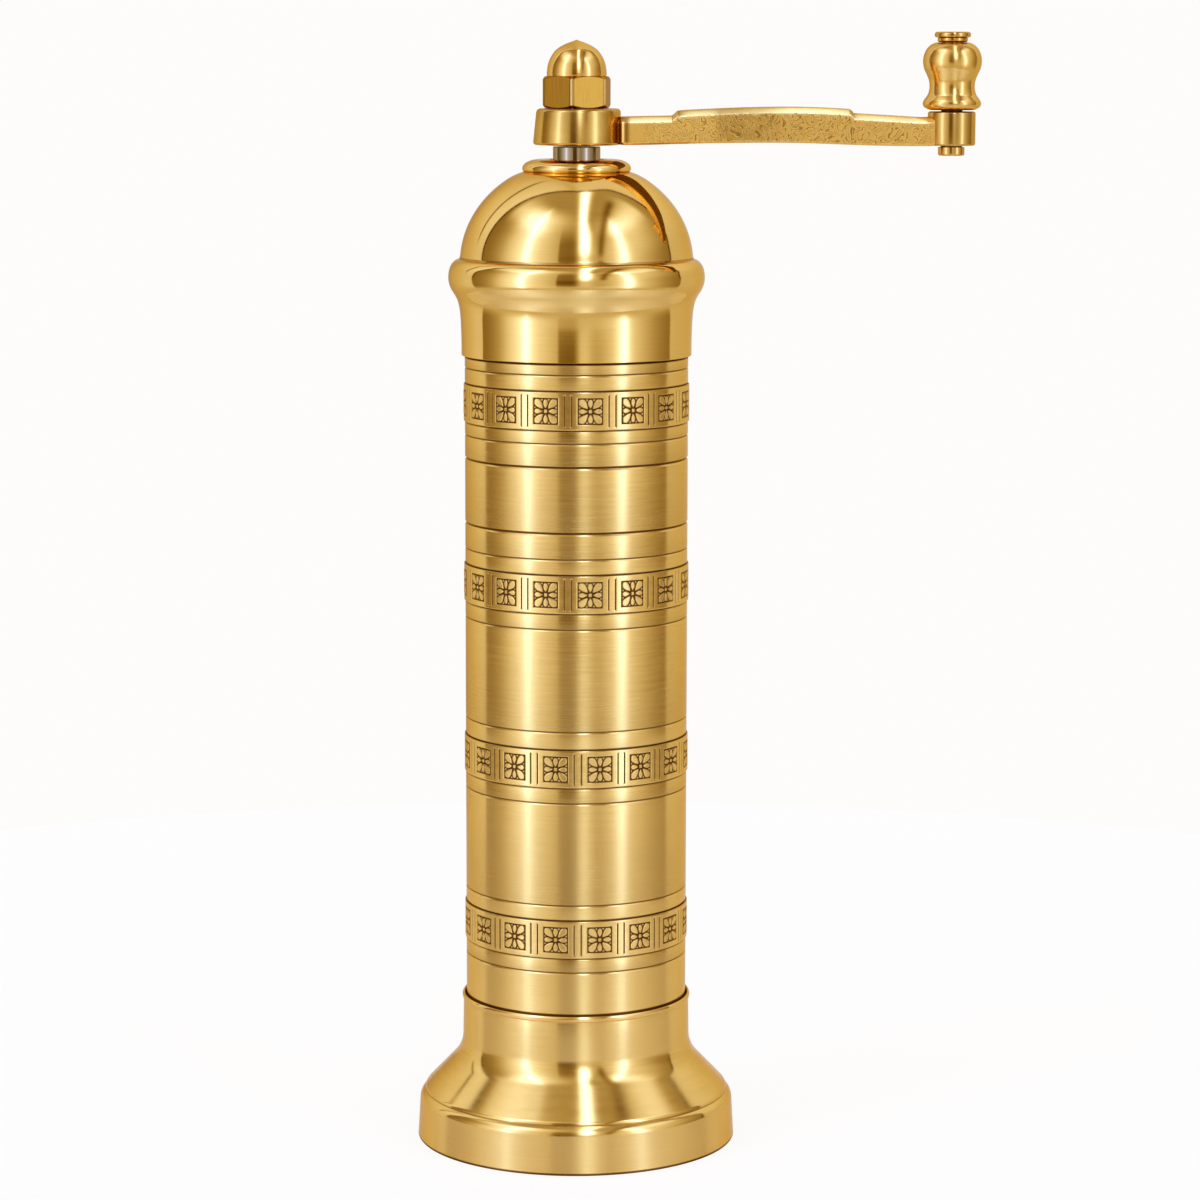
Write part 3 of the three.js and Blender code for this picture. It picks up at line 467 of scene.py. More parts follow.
# Painted shade: the gap between the neck and the tube, a thin contact shadow along the standing edge and a
# half-dark line in the crease.
in_gap = (foot_reach < 23.2) & (foot_height > 20) & (foot_height < 30.6)
in_crease = (np.abs(foot_height - crease_height) < 0.14) & (foot_reach > 31)
at_floor = foot_height < 0.5
foot_shade = np.select([in_gap | at_floor, in_crease], [1.0, 0.5], 0)
foot_piece = turned("foot_bell", foot_line, sides=288, painted_shade_and_blackening=foot_shade)
fitted(foot_piece, foot_satin, "mill_body", "brass_brushed", "foot")


# Body tube: drawn brass tube, turned outside to a satin with fine grooves, and stepped at the top
# where the cap slips over it. Four raised bands are left proud for the engraving.
tube_radius = 23.0
tube_radius_in_foot = 22.87
tube_bore = 21.4
tube_bottom = 16.6
shoulder_height = 164.4
tube_top = 176.1
spigot_radius = 22.45
frieze_heights = [46.7, 82.1, 117.85, 155.0]
frieze_half = 3.9
frieze_seat = 22.5
fine_grooves = [39.7, 53.7, 74.9, 89.6, 110.6, 124.9, 148.3, 162.1]
strong_grooves = [130.15, 143.5]


def groove(middle, half_width, depth, shade_share):
    """One turned groove: the radius drops by depth * (1 - |t|) with a softened floor, t running from -1
    to 1 over its width. Its floor and its upper wall, which faces down, get a painted shade and its
    lower wall, which faces up, is left bright. Gives radius, height and the share of painted shade."""
    t = np.linspace(-1, 1, 17)
    fall = 1 - np.sqrt(t * t * 0.97 + 0.0225 * (1 - t * t))
    darkness = shade_share * np.clip((t + 0.35) * 4, 0, 1) * np.clip((1.05 - t) * 4, 0, 1)
    return np.stack([tube_radius - depth * fall, middle + half_width * t, darkness], 1)


def step(height, side):
    """The groove beside a raised band, with the recess that the engraved ring sits in. side is -1 below
    the band and 1 above it."""
    heights = height + side * np.array([0.42, 0.3, 0.16, 0.05, 0, 0])
    radii = tube_radius - np.array([0, 0.03, 0.14, 0.2, 0.22, tube_radius - frieze_seat])
    # Painted shade, deepening from the band's edge into the recess under the ring.
    shade_share = np.array([0, 0.2, 0.6, 0.9, 0.9, 0.9])
    rows = np.stack([radii, heights, shade_share], 1)
    return rows if side < 0 else rows[::-1]


def clean(points):
    """Points of an outline with no painted shade."""
    return np.concatenate([points, np.zeros((len(points), 1))], 1)


marks = [(z, groove(z, 0.3, 0.2, 0.85)) for z in fine_grooves]
marks += [(z, groove(z, 0.42, 0.34, 1.0)) for z in strong_grooves]
marks += [(z - frieze_half, step(z - frieze_half, -1)) for z in frieze_heights]
marks += [(z + frieze_half, step(z + frieze_half, 1)) for z in frieze_heights]
outside = np.concatenate([rows for _, rows in sorted(marks, key=lambda mark: mark[0])])
tube_foot = clean(np.array([
    [tube_bore, tube_bottom + 0.3], [tube_bore + 0.3, tube_bottom],
    [tube_radius_in_foot - 0.3, tube_bottom], [tube_radius_in_foot, tube_bottom + 0.3],
]))
# The third column is a painted shade: the tube is darkened where it hides in the foot's neck and under the
# cap's skirt.
tube_in_neck = [
    [tube_radius_in_foot, 20, 1], [tube_radius_in_foot, 30.3, 1],
    [tube_radius, 31.08, 1], [tube_radius, 31.25, 0],
]
tube_shoulder = [
    [tube_radius, shoulder_height - 0.35, 0], [tube_radius, shoulder_height - 0.15, 0.9],
    [tube_radius - 0.15, shoulder_height, 1], [spigot_radius, shoulder_height, 1],
    [spigot_radius, shoulder_height + 0.8, 0.9], [spigot_radius, shoulder_height + 1.2, 0],
]
tube_mouth = clean(np.array([
    [spigot_radius, tube_top - 0.35], [spigot_radius - 0.3, tube_top], [tube_bore + 0.2, tube_top],
    [tube_bore, tube_top - 0.2],
]))
tube_line = np.concatenate([tube_foot, tube_in_neck, outside, tube_shoulder, tube_mouth])
tube_satin = tooled_brass("tube_satin", brass_colour, rough=0.215, streaks=1.0, gloss=0.92)
tube_piece = turned("turned_tube", tube_line[:, :2], sides=256, painted_shade_and_blackening=tube_line[:, 2])
fitted(tube_piece, tube_satin, "mill_body", "brass_brushed", "body_tube")


# Frieze rings: on each raised band sixteen square rosettes are cut, with two upright bars between
# neighbours. The cuts are blackened and the petals wiped bright.
frieze_radius = 23.24
motifs = 16
motif_pitch = 2 * math.pi * frieze_radius / motifs
rosette_half_width = 2.46
rosette_half_height = 2.56
middle_dot_half = 0.44
bar_offset = 0.73
bar_half_height = 3.05
cut_half_width = 0.18
cut_depth = 0.11
petal_crown = 0.05
upright_petal = {"inner": 0.45, "outer": 2.5, "width": 0.6, "widest": 0.62}
corner_petal = {"inner": 0.58, "outer": 3.32, "width": 0.84, "widest": 0.66}


def petal(u, v, angle, inner, outer, width, widest):
    """One leaf, pointing away from the rosette's middle. t runs from 0 to 1 along it, and its half width
    is width * (t / widest)^(1.5 widest) * ((1 - t) / (1 - widest))^(1.5 - 1.5 widest). Gives the
    distance to its edge, negative inside."""
    along = u * math.cos(angle) + v * math.sin(angle)
    aside = -u * math.sin(angle) + v * math.cos(angle)
    t = np.clip((along - inner) / (outer - inner), 0.001, 0.999)
    rise_power, fall_power = 1.5 * widest, 1.5 * (1 - widest)
    half = width * (t / widest) ** rise_power * ((1 - t) / (1 - widest)) ** fall_power
    slope = half * (rise_power / t - fall_power / (1 - t)) / (outer - inner)
    edge = (np.abs(aside) - half) / np.sqrt(1 + np.clip(slope, -2.5, 2.5) ** 2)
    return np.maximum(edge, np.maximum(inner - along, along - outer))


def engraving(u, v):
    """Cut, petal and panel shares over one motif. A cut is 1 in the middle of a line and 0 a half width
    away from it; lines run along the petals' edges, the square round them, the square dot in the
    middle and the two bars halfway to the next rosette."""
    square = np.maximum(np.abs(u) - rosette_half_width, np.abs(v) - rosette_half_height)
    dot = np.maximum(np.abs(u), np.abs(v)) - middle_dot_half
    corner = math.atan2(rosette_half_height, rosette_half_width)
    corner_angles = [corner, math.pi - corner, math.pi + corner, -corner]
    leaves = [petal(u, v, k * math.pi / 2, **upright_petal) for k in range(4)]
    leaves += [petal(u, v, angle, **corner_petal) for angle in corner_angles]
    nearest = np.min(np.abs(np.stack(leaves + [dot])), 0)
    inside_square = square < 0
    lines = np.minimum(np.where(inside_square, nearest, 9), np.abs(square))
    to_bar = np.abs(motif_pitch / 2 - np.abs(u)) - bar_offset
    bars = np.maximum(np.abs(to_bar), np.abs(v) - bar_half_height)
    cut = 1 - np.minimum(np.minimum(lines, bars) / cut_half_width, 1)
    leaf = np.clip(-np.min(np.stack(leaves), 0) / 0.2, 0, 1) * inside_square
    return cut, leaf, (square < -0.05) * 1.0


def stations(parts):
    """Places along a half motif: for each (start, end, count) that many, evenly spaced."""
    return np.concatenate([np.linspace(start, end, count, endpoint=False) for start, end, count in parts])


def frieze_ring(name, middle, first_angle):
    """The engraved ring: radius = band radius - depth * cut, deepened as a V, plus a low crown on each
    petal; its edges are bevelled and its back is a plain cylinder. The grid is close over the cuts."""
    half_across = stations([
        (0, 2.25, 19), (2.25, 2.68, 8), (2.68, 3.6, 4), (3.6, 4.02, 7), (4.02, motif_pitch / 2, 3),
    ])
    across = np.concatenate([-half_across[-2:0:-1], half_across, [motif_pitch / 2]])
    bevel_start = 3.72
    half_up = stations([
        (0, 2.36, 18), (2.36, 2.78, 8), (2.78, 2.92, 1), (2.92, 3.2, 4), (3.2, bevel_start, 3),
    ])
    half_up = np.append(half_up, bevel_start)
    up = np.concatenate([-half_up[:0:-1], half_up])
    cut, leaf, panel = (np.tile(grid, (1, motifs)) for grid in engraving(*np.meshgrid(across, up)))
    radius = frieze_radius - cut_depth * np.minimum(cut * 1.3, 1) + petal_crown * leaf
    starts = np.repeat(np.arange(motifs) * motif_pitch, len(across))
    angle = math.radians(first_angle) + (np.tile(across, motifs) + starts) / frieze_radius
    edge_radius = np.array([frieze_seat + 0.02, frieze_radius - 0.2, frieze_radius - 0.03])
    edge_radius = edge_radius[:, None] + 0 * angle
    edge_height = np.array([-frieze_half, -frieze_half, -frieze_half + 0.12])
    # Painted shade along the ring's bevelled edges, where it sits in the tube's recess.
    edge_shade = np.array([0.9, 0.75, 0.1])[:, None] + 0 * angle
    radius = np.concatenate([edge_radius, radius, edge_radius[::-1]])
    height = middle + np.concatenate([edge_height, up, -edge_height[::-1]])[:, None] + 0 * radius
    cut = np.concatenate([edge_shade, cut, edge_shade[::-1]])
    leaf, panel = (np.pad(grid, ((3, 3), (0, 0))) for grid in (leaf, panel))
    points = np.stack([radius * np.sin(angle), -radius * np.cos(angle), height], -1)
    return skin(name, points, {"painted_shade_and_blackening": np.clip(cut * 2.1, 0, 1), "petal": leaf, "panel": panel})


def engraved_brass(name):
    """The tube's satin brass between the cuts, a blackened brown in them and as a painted shade along the
    ring's edges, and paler, matt petals.
    """
    wiped = (0.95, 0.57, 0.14)
    blackening_and_shade = (0.12, 0.036, 0.003)
    material, bench = new_finish(name)
    place = place_on(bench)
    x, y, z = bench.parts(place)
    radius = (x * x + y * y) ** 0.5
    ring = bench.vector(x / radius * turns_of_noise, y / radius * turns_of_noise, z / 0.0003)
    fine = noise(bench, ring, 1.0, 3.0)
    cloud = noise(bench, place, 700.0, 3.0)
    painted_shade_and_blackening, leaf, panel = (marked(bench, key) for key in ("painted_shade_and_blackening", "petal", "panel"))
    shade = 1 + (fine - 0.5) * 0.2 + (cloud - 0.5) * 0.25
    matt = bench.maths("MAXIMUM", leaf, panel * 0.5)
    ground = shaded(bench, mixed(bench, matt, brass_colour, wiped), shade)
    # Blackened cuts, and painted shade on the ring's edges, in the same dark brown.
    shown = mixed(bench, painted_shade_and_blackening, ground, blackening_and_shade)
    roughness = 0.2 + matt * 0.13 + painted_shade_and_blackening * 0.15 + (cloud - 0.5) * 0.08
    normal = bumped(bench, fine, 0.15, scratch_depth)
    metal(bench, shown, roughness, normal, gloss=0.85, blur_turn=across_rings)
    return material


frieze_finish = engraved_brass("frieze_engraved")
lower_turn, upper_turn = 12.4, 7.3  # degrees from the front to the nearest rosette
ring_turns = [lower_turn, lower_turn, upper_turn, upper_turn]
ring_names = ["frieze_ring_1", "frieze_ring_2", "frieze_ring_3", "frieze_ring_4"]
for ring_name, ring_middle, ring_turn in zip(ring_names, frieze_heights, ring_turns):
    fitted(frieze_ring(ring_name, ring_middle, ring_turn), frieze_finish, "mill_body", "brass_brushed")


# Cap: one spun and polished brass shell. A skirt slips over the tube, then come a rolled bead, the
# elliptical dome and a small collar round the spindle's hole.
cap_bottom = 164.62
cap_wall = 1.1
dome_middle = 183.4
dome_wide = 23.95
dome_high = 21.3
dome_start = 185.3
dome_flattening = 0.28  # how far its top lies below the ellipse
collar_seat = 10.78
cap_hole = 5.15


def through(points, steps=8):
    """A smooth line through points: the Catmull-Rom cubic, whose slope at each point is half the step
    between the point's two neighbours."""
    points = np.array(points, float)
    padded = np.concatenate([2 * points[:1] - points[1:2], points, 2 * points[-1:] - points[-2:-1]])
    a, b, c, d = (padded[i:len(padded) - 3 + i, None] for i in range(4))
    t = np.linspace(0, 1, steps, endpoint=False)[None, :, None]
    rise, bend, twist = c - a, 2 * a - 5 * b + 4 * c - d, 3 * b - a - 3 * c + d
    line = 0.5 * (2 * b + rise * t + bend * t**2 + twist * t**3)
    return np.concatenate([line.reshape(-1, 2), points[-1:]])


cap_skirt = [
    [23.66, 164.75], [23.66, 167], [23.72, 169.5], [23.83, 172], [24.02, 174], [24.4, 175.7],
    [25.0, 176.95], [25.72, 178.1], [26.18, 179.3], [26.33, 180.4], [26.25, 181.6], [25.95, 182.7],
    [25.45, 183.5], [24.9, 184.0], [24.4, 184.2],
]
cap_foot = [[24.1, 184.35], [23.95, 184.7], [23.88, 185.1]]
dome_from = math.degrees(math.asin((dome_start - dome_middle) / dome_high))
dome_to = math.degrees(math.acos(collar_seat / dome_wide))
dome = arc(0, dome_middle, dome_wide, dome_high, dome_from, dome_to, 64)
dome[:, 1] -= dome_flattening * np.clip((14.5 - dome[:, 0]) / 3.5, 0, 1) ** 2
collar = through([
    [collar_seat, 202.06], [10.82, 202.1], [11.02, 202.3], [11.14, 202.75], [10.98, 203.3],
    [10.55, 203.78], [9.95, 204.15], [9.15, 204.45], [8.2, 204.6],
], 6)
hole_edge = [[6.2, 204.56], [cap_hole + 0.05, 203.5], [cap_hole, 203.4], [cap_hole, 202.6]]
dome_inside = arc(0, dome_middle, dome_wide - cap_wall, dome_high - cap_wall, dome_to + 6, dome_from, 20)
skirt_inside = [[22.8, 180], [22.6, 176.6], [22.6, 164.8], [22.75, cap_bottom], [23.52, cap_bottom]]
cap_line = np.concatenate([
    through(cap_skirt, 7), through(cap_foot, 4), dome, collar, hole_edge, dome_inside, skirt_inside,
])
cap_reach, cap_height = cap_line.T
# Painted shade: the countersunk hole round the sleeve, the crease under the collar, the inside of the lip and
# the crease above the bead.
in_hole = (cap_reach < 6.0) & (cap_height > 202)
under_collar = (cap_reach > 10.65) & (cap_reach < 10.85) & (cap_height > 202.0) & (cap_height < 202.28)
at_lip = (cap_height < 164.7) & (cap_reach < 23.6)
above_bead = (np.abs(cap_height - 184.5) < 0.25) & (cap_reach > 23)
cap_shade = np.select([in_hole, under_collar, at_lip, above_bead], [1.0, 0.7, 1.0, 0.55], 0)
cap_polish = tooled_brass("cap_polish", brass_colour, rough=0.07, streaks=0.6, gloss=0.6, pitch=0.3)
cap_piece = turned("domed_cap", cap_line, sides=288, painted_shade_and_blackening=cap_shade)
fitted(cap_piece, cap_polish, "cap", "brass_polished", "dome_cap")


# Sleeve: a bright steel tube on the spindle. It spaces the crank from the cap and shows as a short
# grey collar between them.
sleeve_radius = 4.85
sleeve_bore = 3.7
sleeve_bottom = 195.2
sleeve_top = 207.2
sleeve_line = rounded([
    [sleeve_bore, sleeve_bottom, 0.1], [sleeve_radius, sleeve_bottom, 0.2],
    [sleeve_radius, sleeve_top, 0.2], [sleeve_bore, sleeve_top, 0.1],
])
sleeve_colour = (0.41, 0.285, 0.14)
sleeve_bright = tooled_brass("sleeve_bright", sleeve_colour, rough=0.08, streaks=0.4, gloss=0.6, pitch=0.25)
sleeve_piece = turned("steel_sleeve", sleeve_line, sides=128)
fitted(sleeve_piece, sleeve_bright, "rotor", "steel_bright", "spindle_sleeve")


# Crank: one brass casting of hub, arched arm and eye. The hub and eye are faced and filed, the arm's
# sides keep an etched, winding texture and its long edges are bevelled.
crank_bottom = 207.5
crank_reach = 76.5
hub_bore, hub_top = 2.9, 214.9
eye_bore, eye_radius, eye_top = 2.5, 4.86, 214.4
hub_line = rounded([
    [hub_bore, crank_bottom, 0.1], [8.95, crank_bottom, 0.6], [8.2, hub_top, 0.9], [hub_bore, hub_top, 0.1],
])
eye_line = rounded([
    [eye_bore, crank_bottom, 0.1], [eye_radius, crank_bottom, 0.45], [eye_radius, eye_top, 0.4],
    [eye_bore, eye_top, 0.1],
])
arm_start, arm_end = 7.0, 74.5
arm_top = [
    [arm_start, 213.25], [8.9, 213.3], [14, 213.4], [18.9, 213.5], [19.6, 213.62], [20.3, 214.2],
    [21.0, 214.55], [25, 214.8], [34, 215.2], [43.4, 215.35], [50, 215.2], [55.0, 214.95],
    [55.7, 214.8], [56.3, 214.3], [57.0, 214.05], [64, 213.65], [70.4, 213.3], [72.3, 213.5],
    [73.3, 213.95], [arm_end, 214.3],
]
arm_underside = [
    [arm_start, 207.75], [10, 207.6], [13, 207.62], [17, 207.7], [21, 207.82], [28, 207.96], [38, 208.08],
    [46, 208.02], [54, 207.75], [60, 207.55], [66, 207.45], [70, 207.43], [arm_end, crank_bottom],
]
arm_half_width = [
    [arm_start, 2.8], [8.5, 2.9], [8.75, 3.4], [8.95, 4.1], [9.2, 4.7], [10.1, 4.96], [12.0, 4.9],
    [20, 4.42], [27, 4.0], [30, 3.93], [36, 3.95], [41, 3.95], [46, 3.84], [60, 3.5], [arm_end, 3.2],
]
arm_bevel = 1.15
arm_lower_bevel = 0.45
arm_root, first_step, second_step = (8.3, 9.7), (18.5, 21.5), (54.6, 57.4)
etched_from, etched_to = 12.5, 73.5


def casting_section(steps=6, far=60):
    """The arm's cross-section as a template: for each point its side (-1 or 1), how far inwards it lies,
    whether it hangs from the top or stands on the underside, and how far below or above that. Each
    edge is a pair of corners, and the far points only give the directions of its two sides."""
    upper = rounded([
        [0, -far, 0], [0, -arm_bevel, 0.5], [-arm_bevel * 0.95, -0.04, 0.45], [-far, 0, 0], [-far, -far, 0],
    ], steps)[steps:3 * steps]
    lower = rounded([
        [-far, 0, 0], [-arm_lower_bevel, 0, 0.3], [0, arm_lower_bevel, 0.3], [0, far, 0], [-far, far, 0],
    ], steps)[steps:3 * steps]
    flat = np.linspace(0.12, 0.88, 7)
    inwards = np.concatenate([lower[:, 0], 0 * flat, upper[:, 0]])
    hung = np.concatenate([np.zeros(len(lower)), flat, np.ones(len(upper))])
    rise = np.concatenate([lower[:, 1], 0 * flat, upper[:, 1]])
    one_side = np.stack([np.ones(len(rise)), inwards, hung, rise], 1)
    return np.concatenate([one_side, one_side[::-1] * (-1, 1, 1, 1)])


def read_off(points, x):
    """The value at each x of the smooth line through points."""
    line = through(points, 10)
    return np.interp(x, line[:, 0], line[:, 1])[:, None]


def closed_ends(points):
    """A carried section with a row of its middle added at each end, which becomes a pole."""
    first, last = (np.repeat(row.mean(0)[None, None], points.shape[1], 1) for row in (points[0], points[-1]))
    return np.concatenate([first, points, last])


def crank_casting_arm(name):
    """The arm: the template section carried along x, with the half width, the top and the underside
    read off three lines. Its rows are close together at the root and at the two steps."""
    x = np.unique(np.concatenate([
        np.linspace(arm_start, arm_end, 136), np.linspace(*first_step, 25), np.linspace(*second_step, 25),
        np.linspace(*arm_root, 19),
    ]))
    top, bottom, half = (read_off(line, x) for line in (arm_top, arm_underside, arm_half_width))
    side, inwards, upper, rise = casting_section().T
    hangs, stands = upper > 0.99, upper < 0.01
    y = side * (half + inwards)
    span = (bottom + arm_lower_bevel) + upper * (top - arm_bevel - bottom - arm_lower_bevel)
    z = np.where(hangs, top + rise, np.where(stands, bottom + rise, span))
    points = closed_ends(np.stack([x[:, None] + 0 * y, y, z], -1))
    on_side = np.where(np.abs(inwards) < 0.06, 1.0, 0.0)
    # Wear and a painted highlight line where the upper bevel meets the side.
    on_edge = np.where(hangs & (inwards > -0.35) & (rise < -0.5), 1.0, 0.0)
    # Painted shade on part of the upper bevel, on the underside and at the root beside the hub.
    on_bevel = np.where(hangs & (inwards < -0.3) & (rise < -0.05), 0.3, 0.0)
    beneath = np.where(stands & (np.abs(inwards) > 0.5), 1.0, 0.0)
    along = np.concatenate([x[:1], x, x[-1:]])[:, None]
    off_pads = np.clip((along - etched_from) / 6, 0, 1) * np.clip((etched_to - along) / 5, 0, 1)
    at_root = 0.6 * np.clip((9.1 - along) / 0.3, 0, 1)
    extra = {
        "etched": off_pads * on_side, "wear_and_highlight": on_edge * (1 - at_root),
        "painted_shade_and_blackening": np.maximum(beneath + on_bevel, at_root),
    }
    return skin(name, points, extra, closed_rows=False)


def cast_brass(name, colour, rough, etch=0.0, grain_size=900.0, mottle=0.22):
    """Cast brass: a fine pebbled skin, smoothed by handling. Where the piece says etched, a winding
    pattern of fine cut lines follows the level lines of a smooth noise."""
    # Dark brown of the painted shade, and pale brass of worn edges that also stands for a painted highlight.
    painted_shade_dark = (0.12, 0.045, 0.008)
    rubbed_and_highlight = (1.0, 0.68, 0.22)
    lines_a_step = 11
    etching_depth = 0.00004
    material, bench = new_finish(name)
    place = place_on(bench)
    x, y, z = bench.parts(place)
    grain = noise(bench, place, grain_size, 4.0, rough=0.65)
    cloud = noise(bench, place, 150.0, 3.0)
    slow = noise(bench, bench.vector(x, y * 0.2, z), 400.0, 0.3, rough=0.3, winding=0.7)
    wave = bench.maths("SINE", slow * (2 * math.pi * lines_a_step))
    line = bench.ease(wave, 0.3, 0.9) * marked(bench, "etched") * etch
    painted_shade_and_blackening, wear_and_highlight = marked(bench, "painted_shade_and_blackening"), marked(bench, "wear_and_highlight")
    shade = 1 + (grain - 0.5) * 0.1 + (cloud - 0.5) * mottle - line * 0.46
    # Painted shade where the piece is marked, then wear with a painted highlight along marked edges.
    shown = mixed(bench, painted_shade_and_blackening * 0.92, shaded(bench, colour, shade), painted_shade_dark)
    shown = mixed(bench, wear_and_highlight * 0.7, shown, rubbed_and_highlight)
    roughness = rough + (grain - 0.5) * 0.08 + line * 0.08 + painted_shade_and_blackening * 0.12
    metal(bench, shown, roughness, bumped(bench, grain * 0.05 - line, 0.5, etching_depth))
    return material


cast_colour = (0.93, 0.515, 0.1)
# Painted shade: the hub and eye get a darker copy of the casting's brass.
hub_shaded_colour = (0.69, 0.385, 0.075)
hub_lean = 0.11  # outwards towards the arm, for each millimetre up
hub_swell = np.where(hub_line[:, 0] > 6, hub_lean * (hub_line[:, 1] - crank_bottom), 0)
# Painted shade on the top faces round the bores, under the nut and under the knob.
hub_shade = np.where((hub_line[:, 0] < 4) & (hub_line[:, 1] > 210), 1.0, 0)
eye_shade = np.where((eye_line[:, 0] < 4) & (eye_line[:, 1] > 213), 1.0, 0)
crank_cast = cast_brass("crank_cast", cast_colour, rough=0.2, etch=1.0)
hub_cast = cast_brass("hub_cast", hub_shaded_colour, rough=0.17, grain_size=500.0, mottle=0.5)
eye_cast = cast_brass("eye_cast", hub_shaded_colour, rough=0.17, grain_size=500.0)
fitted(crank_casting_arm("crank_arm_casting"), crank_cast, "crank", "brass_cast", "crank_arm")
hub_piece = turned("crank_hub", hub_line, sides=192, painted_shade_and_blackening=hub_shade, swell=hub_swell)
fitted(hub_piece, hub_cast, "crank", "brass_cast")
eye_piece = turned("crank_eye", eye_line, sides=160, axis=crank_reach, painted_shade_and_blackening=eye_shade)
fitted(eye_piece, eye_cast, "crank", "brass_cast")


# Knob: turned and polished brass, a flared foot, a waist and a bulb. It is bored through and spins
# on its pin.
knob_bottom, knob_top = 214.72, 228.35
knob_bore = 2.5
knob_side = through([
    [4.3, knob_bottom], [5.0, 214.9], [5.66, 215.3], [5.93, 215.9], [5.82, 216.5], [5.4, 217.15],
    [4.95, 217.8], [4.68, 218.7], [4.6, 219.6], [4.75, 220.7], [5.22, 221.9], [5.72, 223.0],
    [5.97, 224.2], [5.94, 225.2], [5.68, 226.2], [5.2, 227.1], [4.5, 227.8], [3.8, 228.2],
    [3.2, knob_top],
], 7)
knob_line = np.concatenate([knob_side, [[knob_bore, knob_top], [knob_bore, knob_bottom]]])
knob_reach, knob_height = knob_line.T
# Painted shade where the knob sits on the eye and under the pin's head.
under_head = (knob_reach < 3.4) & (knob_height > 228)
knob_shade = np.select([knob_height < 214.95, under_head], [1.0, 0.9], 0)
knob_colour = (0.88, 0.5, 0.112)
knob_polish = tooled_brass("knob_polish", knob_colour, rough=0.19, gloss=0.6, axis=crank_reach, pitch=0.25)
knob_piece = turned("turned_knob", knob_line, sides=192, axis=crank_reach, painted_shade_and_blackening=knob_shade)
fitted(knob_piece, knob_polish, "knob", "brass_polished", "crank_knob")


# Knob pin: turned brass. A flat head with a neck holds the knob down, and the other end is peened
# over below the crank's eye.
pin_end, peened_radius, peened_top = 205.45, 2.7, 207.2
pin_radius = 2.2
neck_bottom, neck_radius, neck_top = 228.4, 3.08, 229.25
head_bottom, head_radius, head_top = 229.35, 3.68, 230.5
pin_line = np.concatenate([
    [[0, pin_end]],
    rounded([
        [0, pin_end, 0], [peened_radius, pin_end, 0.4], [peened_radius, peened_top, 0.05],
        [pin_radius, peened_top, 0.05], [pin_radius, neck_bottom, 0.05], [neck_radius, neck_bottom, 0.4],
        [neck_radius, neck_top, 0.3], [2.9, neck_top, 0.05], [2.9, head_bottom, 0.05],
        [head_radius, head_bottom, 0.55], [head_radius, head_top, 0.55], [2.4, head_top, 0.15],
        [2.2, head_top - 0.1, 0.15], [0, head_top - 0.1, 0],
    ]),
])
pin_reach, pin_height = pin_line.T
# Painted shade on the shank inside the knob and under the head.
on_shank = (pin_reach < 2.25) & (pin_height < 229)
below_head = (pin_reach < 2.95) & (np.abs(pin_height - 229.3) < 0.08)
pin_shade = np.where(on_shank | below_head, 1.0, 0)
pin_colour = (0.74, 0.4, 0.085)
pin_polish = tooled_brass("pin_polish", pin_colour, rough=0.16, gloss=0.4, axis=crank_reach, pitch=0.25)
pin_piece = turned("headed_pin", pin_line, sides=128, axis=crank_reach, painted_shade_and_blackening=pin_shade)
fitted(pin_piece, pin_polish, "crank", "brass_polished", "knob_pin")


# Acorn nut: a brass cap nut. Its hexagon is brushed upwards and chamfered, its dome is polished to a
# small point.
nut_bottom = 215.0
nut_hex_top = 221.4
nut_bore = 2.75
nut_thread_depth = 6
across_flats = 13.0
nut_turn = math.radians(-7.7)
chamfer_start = 6.42
chamfer_height = 1.3


def hexagon_sides(angle, corner):
    """Radius of a hexagon with softened corners: the apothem over the 90th-power mean of |cos| of the
    angle from each of its three pairs of flats."""
    pairs = [np.abs(np.cos(angle - corner - math.radians(30 + 60 * k))) ** 90 for k in range(3)]
    return across_flats / 2 / sum(pairs) ** (1 / 90)


def nut_body(name):
    """The hexagon: at each angle and height the smaller of the hexagon's radius and the chamfer cones'
    radii, blended as a 160th-power mean so that the edges are a little worn."""
    angle = np.linspace(0, 2 * math.pi, 480, endpoint=False)[None, :]
    ends = chamfer_height * np.linspace(0, 1, 26)
    side = np.linspace(nut_bottom + 1.5, nut_hex_top - 1.5, 12)
    heights = np.concatenate([nut_bottom + ends, side, nut_hex_top - ends[::-1]])[:, None]
    chamfer = chamfer_start + np.minimum(heights - nut_bottom, nut_hex_top - heights) / 0.6
    radius = (hexagon_sides(angle, nut_turn)**-160.0 + chamfer**-160.0) ** (-1 / 160)
    bore = np.array([[nut_bore, nut_bottom + nut_thread_depth], [nut_bore, nut_bottom]])
    top = np.array([[5.9, nut_hex_top], [nut_bore, nut_hex_top]])
    radius = np.concatenate([bore[:, :1] + 0 * angle, radius, top[:, :1] + 0 * angle])
    heights = np.concatenate([bore[:, 1:], heights, top[:, 1:]])
    points = np.stack([radius * np.sin(angle), -radius * np.cos(angle), heights + 0 * angle], -1)
    from_corner = np.abs((np.degrees(angle - nut_turn) + 30) % 60 - 30)
    # Wear and a painted highlight along each corner, and a painted shade line a little beside it.
    wear_and_highlight = np.clip(1.6 - from_corner, 0, 1)
    beside = np.clip(1.5 - np.abs(from_corner - 3.2) / 1.2, 0, 1) * 0.55
    return skin(name, points, {"wear_and_highlight": wear_and_highlight, "painted_shade_and_blackening": beside})


